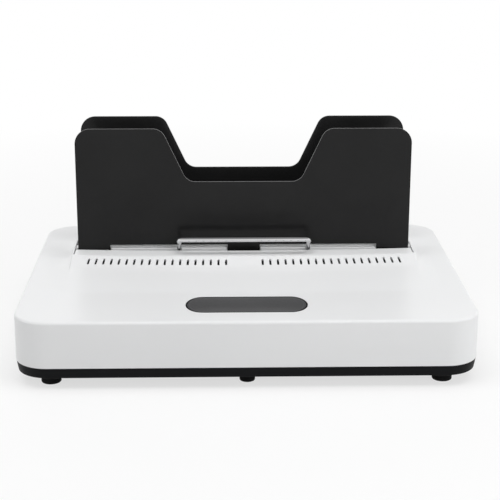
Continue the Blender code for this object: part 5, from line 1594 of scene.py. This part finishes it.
def bent_path(corners: Array, radius: float, steps: int = 14) -> tuple[Array, Array]:
    """Lead a path through corners, with a round bend at each.

    A bend is centre + radius * (a * cos t + b * sin t), from the end of one straight run
    to the start of the next. The direction across is square to the plane of the bend.

    Args:
        corners: the path's ends and corners.
        radius: the bends' radius.
        steps: steps along each bend.

    Returns:
        The path's points, and a direction across it at each.
    """
    path = [corners[:1]]
    across = []
    for before, here, after in zip(corners, corners[1:], corners[2:]):
        into = (before - here) / np.linalg.norm(before - here)
        out = (after - here) / np.linalg.norm(after - here)
        half = np.arccos(np.clip(into @ out, -1.0, 1.0)) / 2
        middle = (into + out) / np.linalg.norm(into + out)
        centre = here + middle * radius / np.sin(half)
        start = here + into * radius / np.tan(half) - centre
        side = np.cross(np.cross(into, out), start)
        side *= radius / np.linalg.norm(side)
        turn = np.linspace(0.0, np.pi - 2 * half, steps + 1)[:, None]
        sign = 1.0 if side @ out > 0 else -1.0
        path.append(centre + start * np.cos(turn) + side * sign * np.sin(turn))
        normal = np.cross(into, out)
        across.append(np.broadcast_to(normal / np.linalg.norm(normal), (steps + 1, 3)))
    path.append(corners[-1:])
    across = [across[0][:1], *across, across[-1][-1:]]
    return np.vstack(path), np.vstack(across)


# Rear fittings

@dataclass
class RearFittings:
    """The mains inlet with its pins, and the power switch, in the rear pocket."""

    size: Measures
    palette: Palette
    flange_thickness: float = 0.0017
    corner: float = 0.0015
    edge: float = 0.0003
    mouth: float = 0.0004
    socket_width: float = 0.0236
    socket_height: float = 0.0156
    socket_chamfer: float = 0.0045
    socket_depth: float = 0.0165
    pin_count: int = 3
    pin_tip: float = 0.0005
    window_wall: float = 0.0016
    window_depth: float = 0.0134
    rocker_gap: float = 0.0008
    rocker_face: float = 0.0050
    rocker_tilt: float = np.radians(8.0)
    rocker_edge: float = 0.0004
    rocker_points: int = 17
    rocker_sharp: float = 30.0
    mark_place: float = 0.0040
    mark_size: float = 0.0016
    mark_line: float = 0.00025
    mark_round: float = 0.9
    mark_rise: float = 0.00008

    def __post_init__(self) -> None:
        """Work out the rocker's size and how deep its face is hollowed."""
        low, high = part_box("switch_frame")
        inset = self.size.flange + self.window_wall + self.rocker_gap
        half_height = (high.z - low.z) / 2 - inset
        self.rocker_half = (high.x - low.x) / 2 - inset
        self.rocker_sink = half_height * np.sin(self.rocker_tilt)
        self.rocker_reach = half_height * np.cos(self.rocker_tilt)

    def build(self) -> None:
        """Build the inlet, its pins, the switch frame and the rocker."""
        inlet_x, centre_z = self.middle("power_inlet")
        half, chamfer, soft = self.socket_width / 2, self.socket_chamfer, self.edge * 2
        low, high = centre_z - self.socket_height / 2, centre_z + self.socket_height / 2
        socket = rounded_corners([(inlet_x - half, low, self.edge), (inlet_x + half, low, self.edge),
                                  (inlet_x + half, high - chamfer, soft),
                                  (inlet_x + half - chamfer, high, soft),
                                  (inlet_x - half + chamfer, high, soft),
                                  (inlet_x - half, high - chamfer, soft)], steps=4)
        self.fitting("power_inlet", socket, self.socket_depth)
        for number in range(self.pin_count):
            self.pin(f"inlet_pin_{number + 1}")
        box_low, box_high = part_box("switch_frame")
        reach = (self.size.flange + self.window_wall) * 2
        full = (box_high.x - box_low.x - reach, box_high.z - box_low.z - reach)
        window = rounded_rectangle(self.middle("switch_frame"), full, self.edge, steps=3)
        self.fitting("switch_frame", window, self.window_depth)
        self.rocker()
        self.marks()

    def middle(self, node: str) -> Array:
        """Return the middle of a node's box in X and Z."""
        return middle_of(node)[[0, 2]]

    def fitting(self, node: str, window: Array, depth: float) -> None:
        """Build a flanged body with one blind opening in its face.

        Args:
            node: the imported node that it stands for.
            window: the opening's outline in X and Z.
            depth: the opening's depth from the face.
        """
        low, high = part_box(node)
        middle, full = self.middle(node), np.array((high.x - low.x, high.z - low.z))
        rim = rounded_rectangle(middle, full, self.corner, steps=6)
        body = rounded_rectangle(middle, full - (self.size.flange + self.size.play) * 2, self.edge, steps=6)
        face, back = high.y, high.y - self.flange_thickness
        skin = Skin(f"{node}_moulding")
        edge = [(offset(rim, -inset), face - drop) for inset, drop in rolled(self.edge)]
        skin.rings("Y", *edge, (rim, back), (body, back), (body, low.y))
        skin.cap(laid(body, "Y", low.y))
        skin.fill("Y", face, offset(rim, -self.edge), [offset(window, self.mouth)])
        mouth = [(offset(window, growth), face - drop) for growth, drop in rolled(self.mouth)]
        skin.rings("Y", *mouth, (window, face - depth))
        skin.cap(laid(window, "Y", face - depth))
        self.palette.place(skin, "black_moulding", "machine", node)

    def pin(self, node: str) -> None:
        """Build one flat pin with a tapered tip.

        Args:
            node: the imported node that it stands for.
        """
        low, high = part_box(node)
        full, tip = (high.x - low.x, high.z - low.z), self.pin_tip
        outline = rounded_rectangle(self.middle(node), full, self.edge, steps=3)
        point = offset(outline, -tip)
        skin = Skin(f"{node}_blade")
        skin.rings("Y", (outline, low.y), (outline, high.y - tip * 2),
                   (offset(outline, -tip / 2), high.y - tip / 2), (point, high.y))
        skin.cap(laid(outline, "Y", low.y))
        skin.cap(laid(point, "Y", high.y))
        self.palette.place(skin, "bush_brass", "machine", node)

    def hollow(self, up: Array) -> Array:
        """Return how far the level rocker's face stands out of its axis, at places up it."""
        rise = self.rocker_face - self.rocker_sink
        return rise - self.rocker_sink * (1 - (up / self.rocker_reach) ** 2)

    def tipped(self, points: Array) -> Array:
        """Tip points of the level rocker to off, and set them at its axis.

        Args:
            points: the points, as (out, up) from the axis.

        Returns:
            Their places in Y and Z.
        """
        tip = np.array(Matrix.Rotation(-self.rocker_tilt, 2))
        axis = (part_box("switch_frame")[1].y - self.rocker_face, self.middle("switch_frame")[1])
        return points @ tip.T + axis

    def rocker(self) -> None:
        """Build the rocker with its hollowed face.

        Its profile is the face of hollow(), drawn to a point behind the axis. The face
        comes level with the flange at its high end.
        """
        x = self.middle("switch_frame")[0]
        reach, rise = self.rocker_reach, self.rocker_face - self.rocker_sink
        up = np.linspace(-1.0, 1.0, self.rocker_points) * reach
        curve = np.column_stack([self.hollow(up), up])
        outline = self.tipped(np.vstack([[(0.0, -reach)], curve, [(0.0, reach), (-rise, 0.0)]]))
        skin = Skin("power_rocker_button")
        slab(skin, "X", outline, x - self.rocker_half, x + self.rocker_half, self.rocker_edge)
        self.palette.place(skin, "rocker_plastic", "rocker", "power_rocker", sharp=self.rocker_sharp)

    def marks(self) -> None:
        """Build the plain on and off marks that stand a little out of the rocker's face."""
        skin = Skin("power_rocker_marks")
        width, size = self.mark_line * 2, self.mark_size
        bar = rounded_rectangle((0.0, 0.0), (width, size * 2), self.mark_line * self.mark_round, steps=5)
        ring, hole = circle((0.0, 0.0), size, steps=40), circle((0.0, 0.0), size - width, steps=40)
        for place, shape, holes in ((-self.mark_place, bar, []), (self.mark_place, ring, [hole])):
            flat, triangles = sheet(shape, holes)
            for lift in (-self.mark_rise, self.mark_rise):
                skin.add(self.on_face(flat, place, lift), triangles)
            for edge in (shape, *holes):
                skin.grid(np.array([self.on_face(edge, place, lift)
                                    for lift in (-self.mark_rise, self.mark_rise)]))
        self.palette.place(skin, "rocker_mark", "rocker", slot="rocker_plastic")

    def on_face(self, flat: Array, place: float, lift: float) -> Array:
        """Lay the points of a flat mark on the rocker's face.

        Args:
            flat: the mark's points, as (across, up).
            place: how far up the face its middle lies.
            lift: how far it stands off the face.

        Returns:
            The places in space.
        """
        up = flat[:, 1] + place
        face = self.tipped(np.column_stack([self.hollow(up) + lift, up]))
        return np.column_stack([flat[:, 0] + self.middle("switch_frame")[0], face])


# Fasteners

@dataclass
class Fasteners:
    """Every screw, with its turned head, its cross recess and its shank."""

    palette: Palette
    head_radius: float = 0.0028
    head_height: float = 0.0020
    crown_share: float = 0.6
    shank_radius: float = 0.0015
    recess_reach: float = 0.0016
    recess_half: float = 0.00035
    recess_depth: float = 0.0009
    recess_taper: float = 0.4
    steps: int = 28
    sharp: float = 30.0
    upward: tuple[str, ...] = ("housing_screw", "heater_screw", "control_board_screw")
    flat: tuple[str, ...] = ("front_plate_screw", "rear_plate_screw")

    def cross(self) -> Array:
        """Draw the cross recess.

        Returns:
            Its outline, anticlockwise.
        """
        reach, half = self.recess_reach, self.recess_half
        arm = np.array([(half, half), (half, reach), (-half, reach)])
        turns = [np.array(Matrix.Rotation(QUARTER * step, 2)) for step in range(4)]
        return np.vstack([arm @ turn.T for turn in turns])

    def head(self, flat: bool) -> list[tuple[float, float]]:
        """Draw the head's profile, from its rim to the shank.

        A round head's crown is a quarter of an ellipse about its edge.

        Args:
            flat: whether the head is countersunk.

        Returns:
            (radius, depth under the top) of each point.
        """
        if flat:
            return [(self.head_radius, 0.0), (self.shank_radius, self.head_radius - self.shank_radius)]
        crown = self.head_height * (1 - self.crown_share)
        turn = arc_steps(0.0, 1.0, steps=5)
        start = self.head_radius * self.crown_share
        dome = [(start + (self.head_radius - start) * np.sin(angle), crown * (1 - np.cos(angle)))
                for angle in turn]
        return dome + [(self.head_radius, self.head_height), (self.shank_radius, self.head_height)]

    def screw(self, skin: Skin, node: str) -> None:
        """Add one screw to a skin, in the box of its node.

        Args:
            skin: the skin that the screw joins.
            node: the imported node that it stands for.
        """
        low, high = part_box(node)
        kind = node.rstrip("0123456789_")
        flat = kind in self.flat
        axis, up = (1, 1.0) if flat else (2, 1.0 if kind in self.upward else -1.0)
        top = np.array((low + high) / 2)
        top[axis] = low[axis] if up > 0 else high[axis]
        others = [index for index in range(3) if index != axis]
        around = circle((0.0, 0.0), 1.0, self.steps)

        def placed(points: Array, depth: float) -> Array:
            """Stand flat points at a depth under the head's top.

            Args:
                points: the points, square to the screw.
                depth: how far under the top they lie.

            Returns:
                The places in space.
            """
            out = np.empty((len(points), 3))
            out[:, others] = points
            out[:, axis] = up * depth
            return out + top

        profile = self.head(flat) + [(self.shank_radius, high[axis] - low[axis])]
        rings = [placed(around * radius, depth) for radius, depth in profile]
        skin.grid(np.array(rings))
        skin.cap(rings[-1])
        cross = self.cross()
        points, triangles = sheet(around * profile[0][0], [cross])
        skin.add(placed(points, 0.0), triangles)
        floor = placed(cross * self.recess_taper, self.recess_depth)
        skin.grid(np.array([placed(cross, 0.0), floor]))
        skin.cap(floor)

    def build(self) -> None:
        """Build the screws, as one piece for each body that carries some."""
        nodes = sorted(name for name in frame["nodes"] if "screw" in name)
        riding = [name for name in nodes if name.startswith("front_plate_screw")]
        fixed = [name for name in nodes if name not in riding]
        for body, group in (("carriage", riding), ("machine", fixed)):
            skin = Skin(f"{body}_screws")
            for node in group:
                self.screw(skin, node)
            self.palette.place(skin, "screw_steel", body, *group, sharp=self.sharp)


# Guides and heater

@dataclass
class Guides:
    """The two ground rods, and the flanged brass bushes that run on them."""

    palette: Palette
    rod_chamfer: float = 0.0006
    bush_chamfer: float = 0.0002
    flange_reach: float = 0.0012
    flange_height: float = 0.0012
    running_gap: float = 0.00005

    def build(self) -> None:
        """Turn the rods and the bushes."""
        for side in ("left", "right"):
            node = f"guide_rod_{side}"
            low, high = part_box(node)
            rod, length, cut = (high.x - low.x) / 2, high.y - low.y, self.rod_chamfer
            self.turned(node, [(0.0, 0.0), (rod - cut, 0.0), (rod, cut), (rod, length - cut),
                               (rod - cut, length), (0.0, length)], "machine", "ground_rod")
            node = f"carriage_bush_{side}"
            low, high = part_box(node)
            flange, inner = (high.x - low.x) / 2, rod + self.running_gap
            sleeve, rim = flange - self.flange_reach, self.flange_height
            length, cut = high.y - low.y, self.bush_chamfer
            self.turned(node, [(inner, cut), (inner + cut, 0.0), (flange - cut, 0.0), (flange, cut),
                               (flange, rim - cut), (flange - cut, rim), (sleeve, rim),
                               (sleeve, length - cut), (sleeve - cut, length), (inner + cut, length),
                               (inner, length - cut), (inner, cut)], "carriage", "bush_brass")

    def turned(self, node: str, profile: Sequence[tuple[float, float]], body: str, slot: str) -> None:
        """Turn one piece about its node's middle line along Y.

        Args:
            node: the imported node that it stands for.
            profile: (radius, place from its front end) of each point.
            body: the body it moves with.
            slot: the record's material slot.
        """
        x, _, z = middle_of(node)
        skin = Skin(f"{node}_turned")
        skin.lathe(profile, (x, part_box(node)[0].y, z), "Y")
        self.palette.place(skin, slot, body, node)


@dataclass
class Heater:
    """The heating plate at the bottom of the slot, with its fine lengthwise grooves."""

    palette: Palette
    edge: float = 0.0005
    corner: float = 0.0010
    groove_pitch: float = 0.0060
    groove_depth: float = 0.00025
    groove_share: float = 0.35
    points: int = 161

    def build(self) -> None:
        """Build the plate as one profile drawn along X.

        Its top lies at top - depth * max(0, cos(2 pi y / pitch) - (1 - share)) / share,
        with y measured from its middle.
        """
        low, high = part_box("heating_plate")
        reach = (high.y - low.y) / 2 - self.corner * 2
        y = np.linspace(reach, -reach, self.points)
        wave = np.maximum(0.0, np.cos(2 * np.pi * y / self.groove_pitch) - 1 + self.groove_share)
        drop = self.groove_depth * wave / self.groove_share
        ridge = np.column_stack([y + middle_of("heating_plate")[1], high.z - drop])
        base = rounded_corners([(low.y, low.z, self.edge), (high.y, low.z, self.edge),
                                (high.y, high.z, self.corner), (low.y, high.z, self.corner)], steps=5)
        third_corner_end = len(base) * 3 // 4
        outline = np.vstack([base[:third_corner_end], ridge, base[third_corner_end:]])
        skin = Skin("heating_plate_ground")
        slab(skin, "X", outline, low.x, high.x, self.edge / 2)
        self.palette.place(skin, "heater_aluminium", "machine", "heating_plate")


# Touch panel

@dataclass
class TouchPanel:
    """The dark touch panel with a near-black rim of painted shade round its edge and a fine inner line, let
    into the casing.
    """

    palette: Palette
    thickness: float = 0.0012
    edge: float = 0.0003
    plate_edge: float = 0.0001
    # Width of the near-black rim that paints the shade of the gap round the panel
    rim: float = 0.0011
    shade_rim_gap: float = 0.0001
    step: float = 0.0001
    line_inset: float = 0.0032
    line_half: float = 0.00016
    line_height: float = 0.00006

    def build(self, casing: Casing) -> None:
        """Build the near-black rim, which paints the shade of the gap round the panel, the film-covered
        plate inside it and the line on the plate.

        Args:
            casing: the casing, which gives the panel's outline.
        """
        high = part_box("touch_panel")[1].z
        low = high - self.thickness
        outer, inner = casing.panel(0.0), casing.panel(-self.rim)
        # The near-black ring round the panel is painted shade of the gap between panel and casing
        rim = Skin("touch_panel_shade_rim")
        edge = [(casing.panel(-inset), high - drop) for drop, inset in rolled(self.edge)]
        rim.rings("Z", (inner, low), (outer, low), *edge, (inner, high), (inner, low))
        self.palette.place(rim, "black_moulding", "machine")
        plate = Skin("touch_panel_plate")
        top = high - self.step
        slab(plate, "Z", casing.panel(-self.rim - self.shade_rim_gap), low, top, self.plate_edge)
        self.palette.place(plate, "panel_film", "machine", "touch_panel")
        line = Skin("touch_panel_line")
        half, height = self.line_half, self.line_height
        profile = [(-half, -height), (-half, height / 2), (-half / 2, height), (half / 2, height),
                   (half, height / 2), (half, -height), (-half, -height)]
        line.rings("Z", *[(casing.panel(across - self.line_inset), top + rise) for across, rise in profile])
        self.palette.place(line, "panel_line", "machine", slot="panel_film")


# Studio

@dataclass(frozen=True)
class Lamp:
    """One soft rectangular lamp that leaves no highlight of its shape.

    Args:
        name: its object's name.
        place: where its middle is.
        size: its two sides.
        power: its power in watts.
        aim: the place that it shines at.
    """

    name: str
    place: tuple[float, float, float]
    size: tuple[float, float]
    power: float
    aim: tuple[float, float, float] = (0.0, 0.0, 0.05)

    def hang(self) -> None:
        """Put the lamp in the scene."""
        data = bpy.data.lights.new(self.name, "AREA")
        data.shape = "RECTANGLE"
        data.size, data.size_y = self.size
        data.energy = self.power
        item = bpy.data.objects.new(self.name, data)
        item.visible_glossy = False
        turn = (Vector(self.aim) - Vector(self.place)).to_track_quat("-Z", "Y")
        item.matrix_world = Matrix.Translation(self.place) @ turn.to_matrix().to_4x4()
        bpy.context.scene.collection.objects.link(item)


LAMPS = (
    Lamp("overhead_right", (0.65, -0.35, 2.1), (1.1, 1.5), 18.7),
    Lamp("overhead_left", (-0.65, -0.35, 2.1), (1.1, 1.5), 18.0),
    Lamp("front", (0.95, -1.05, 0.55), (0.7, 0.5), 4.0),
    Lamp("rear", (-0.9, 1.9, 1.0), (1.4, 0.9), 5.0),
    Lamp("side_right", (2.2, -0.5, 0.7), (0.9, 0.9), 4.8),
    Lamp("side_left", (-2.2, -0.5, 0.7), (0.9, 0.9), 5.0),
)


@dataclass(frozen=True)
class Studio:
    """The pale floor, the soft lights, the white background and the camera.

    Args:
        eye: the camera's place.
        yaw: how far it looks towards +X, in radians.
        pitch: how far it looks down.
        roll: how far it leans.
        lens: focal length in millimetres.
        sensor: width of the camera's frame in millimetres.
        sky: strength of the soft light from all round.
        sky_fade: rises of the view, as sines, between which the white backdrop turns to sky.
        floor_half: half the floor's side.
        floor_lines: lines of the floor's grid in each direction.
        floor_fade: distances from the machine between which the floor's shadows fade away.
        floor_white: share of plain white in the floor's look at those two distances.
    """

    eye: tuple[float, float, float] = (-0.0249, -1.2135, 0.4463)
    yaw: float = 0.0250
    pitch: float = 0.2942
    roll: float = 0.0018
    lens: float = 96.2
    sensor: float = 36.0
    sky: float = 0.28
    sky_fade: tuple[float, float] = (0.35, 0.75)
    floor_half: float = 4.0
    floor_lines: int = 9
    floor_fade: tuple[float, float] = (0.30, 1.00)
    floor_white: tuple[float, float] = (0.66, 1.00)

    def build(self) -> None:
        """Build the whole studio."""
        self.camera()
        self.floor()
        self.background()
        for lamp in LAMPS:
            lamp.hang()

    def camera(self) -> None:
        """Set the camera at the photograph's viewing angle."""
        data = bpy.data.cameras.new("camera")
        data.lens = self.lens
        data.sensor_width = self.sensor
        data.dof.use_dof = False
        item = bpy.data.objects.new("camera", data)
        turn = (Matrix.Rotation(-self.yaw, 3, "Z") @ Matrix.Rotation(QUARTER - self.pitch, 3, "X")
                @ Matrix.Rotation(self.roll, 3, "Z"))
        item.matrix_world = Matrix.Translation(self.eye) @ turn.to_4x4()
        bpy.context.scene.collection.objects.link(item)
        bpy.context.scene.camera = item

    def floor(self) -> None:
        """Lay the pale floor that takes the machine's shadow, and is white to the eye elsewhere."""
        skin = Skin("studio_floor")
        line = np.linspace(-self.floor_half, self.floor_half, self.floor_lines)
        x, y = np.meshgrid(line, line)
        skin.grid(np.stack([x, y, np.zeros_like(x)], axis=-1), closed=False)
        material = FLOOR_FINISH.material()
        tree = material.node_tree
        place = add_node(tree, "TexCoord")
        length = add_node(tree, "VectorMath")
        length.operation = "LENGTH"
        share = add_node(tree, "MapRange", From_Min=self.floor_fade[0], From_Max=self.floor_fade[1],
                         To_Min=self.floor_white[0], To_Max=self.floor_white[1])
        factor = add_node(tree, "Math")
        factor.operation = "MULTIPLY"
        white = add_node(tree, "Emission", Color=WHITE)
        tree.links.new(place.outputs["Object"], length.inputs[0])
        tree.links.new(length.outputs["Value"], share.inputs["Value"])
        tree.links.new(share.outputs["Result"], factor.inputs[0])
        tree.links.new(self.seen(tree), factor.inputs[1])
        self.mix(tree, factor.outputs["Value"], tree.nodes["Principled BSDF"], white, "Material Output")
        skin.build(material)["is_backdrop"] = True

    def mix(self, tree: bpy.types.NodeTree, share: bpy.types.NodeSocket, first: bpy.types.Node,
            second: bpy.types.Node, output: str) -> None:
        """Send a mix of two shaders to a tree's output.

        Args:
            tree: the tree.
            share: the socket that gives the second shader's share.
            first: the first shader.
            second: the second shader.
            output: the output node's name.
        """
        blend = add_node(tree, "MixShader")
        tree.links.new(share, blend.inputs["Fac"])
        tree.links.new(first.outputs[0], blend.inputs[1])
        tree.links.new(second.outputs[0], blend.inputs[2])
        tree.links.new(blend.outputs["Shader"], tree.nodes[output].inputs["Surface"])

    def seen(self, tree: bpy.types.NodeTree) -> bpy.types.NodeSocket:
        """Find out whether a ray looks at the studio, directly or in a mirror or glass.

        Args:
            tree: the tree that asks.

        Returns:
            A socket that is 1 for such rays and 0 for others.
        """
        path = add_node(tree, "LightPath")
        either = path.outputs["Is Camera Ray"]
        for name in ("Is Glossy Ray", "Is Transmission Ray"):
            larger = add_node(tree, "Math")
            larger.operation = "MAXIMUM"
            tree.links.new(either, larger.inputs[0])
            tree.links.new(path.outputs[name], larger.inputs[1])
            either = larger.outputs["Value"]
        return either

    def background(self) -> None:
        """Show plain white behind the machine, and light it with a soft grey."""
        world = bpy.data.worlds.new("studio")
        bpy.context.scene.world = world
        world.use_nodes = True
        tree = world.node_tree
        light = tree.nodes["Background"]
        light.inputs["Color"].default_value = WHITE
        light.inputs["Strength"].default_value = self.sky
        backdrop = add_node(tree, "Background", Color=WHITE)
        way = add_node(tree, "TexCoord")
        split = add_node(tree, "SeparateXYZ")
        fade = add_node(tree, "MapRange", From_Min=self.sky_fade[0], From_Max=self.sky_fade[1],
                        To_Min=1.0, To_Max=self.sky)
        tree.links.new(way.outputs["Generated"], split.inputs["Vector"])
        tree.links.new(split.outputs["Z"], fade.inputs["Value"])
        tree.links.new(fade.outputs["Result"], backdrop.inputs["Strength"])
        self.mix(tree, self.seen(tree), light, backdrop, "World Output")


def write_sizes() -> None:
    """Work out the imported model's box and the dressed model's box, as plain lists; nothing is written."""
    boxes = {"cad": plain(CAD_BOUNDS), "visual": plain(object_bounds())}


def plain(value: object) -> object:
    """Turn nested numbers into plain lists.

    Args:
        value: a number, or numbers held in lists, vectors or dictionaries.

    Returns:
        The same numbers in lists and dictionaries.
    """
    if isinstance(value, dict):
        return {key: plain(part) for key, part in value.items()}
    if isinstance(value, (int, float)):
        return float(value)
    return [plain(part) for part in value]


def main() -> None:
    """Build the pieces in order, then the studio."""
    logging.basicConfig(level=logging.INFO, format="%(message)s")
    bpy.context.scene.view_settings.view_transform = "Standard"
    size = Measures.read()
    palette = Palette(FINISHES)
    palette.dress_nodes()
    casing = Casing(size, palette)
    casing.build()
    BaseTray(size, palette).build()
    BindingPlates(size, palette).build()
    Carriage(size, palette).build()
    TouchPanel(palette).build(casing)
    RearFittings(size, palette).build()
    Fasteners(palette).build()
    Guides(palette).build()
    Heater(palette).build()
    Studio().build()


if __name__ == "__main__":
    main()
    write_sizes()
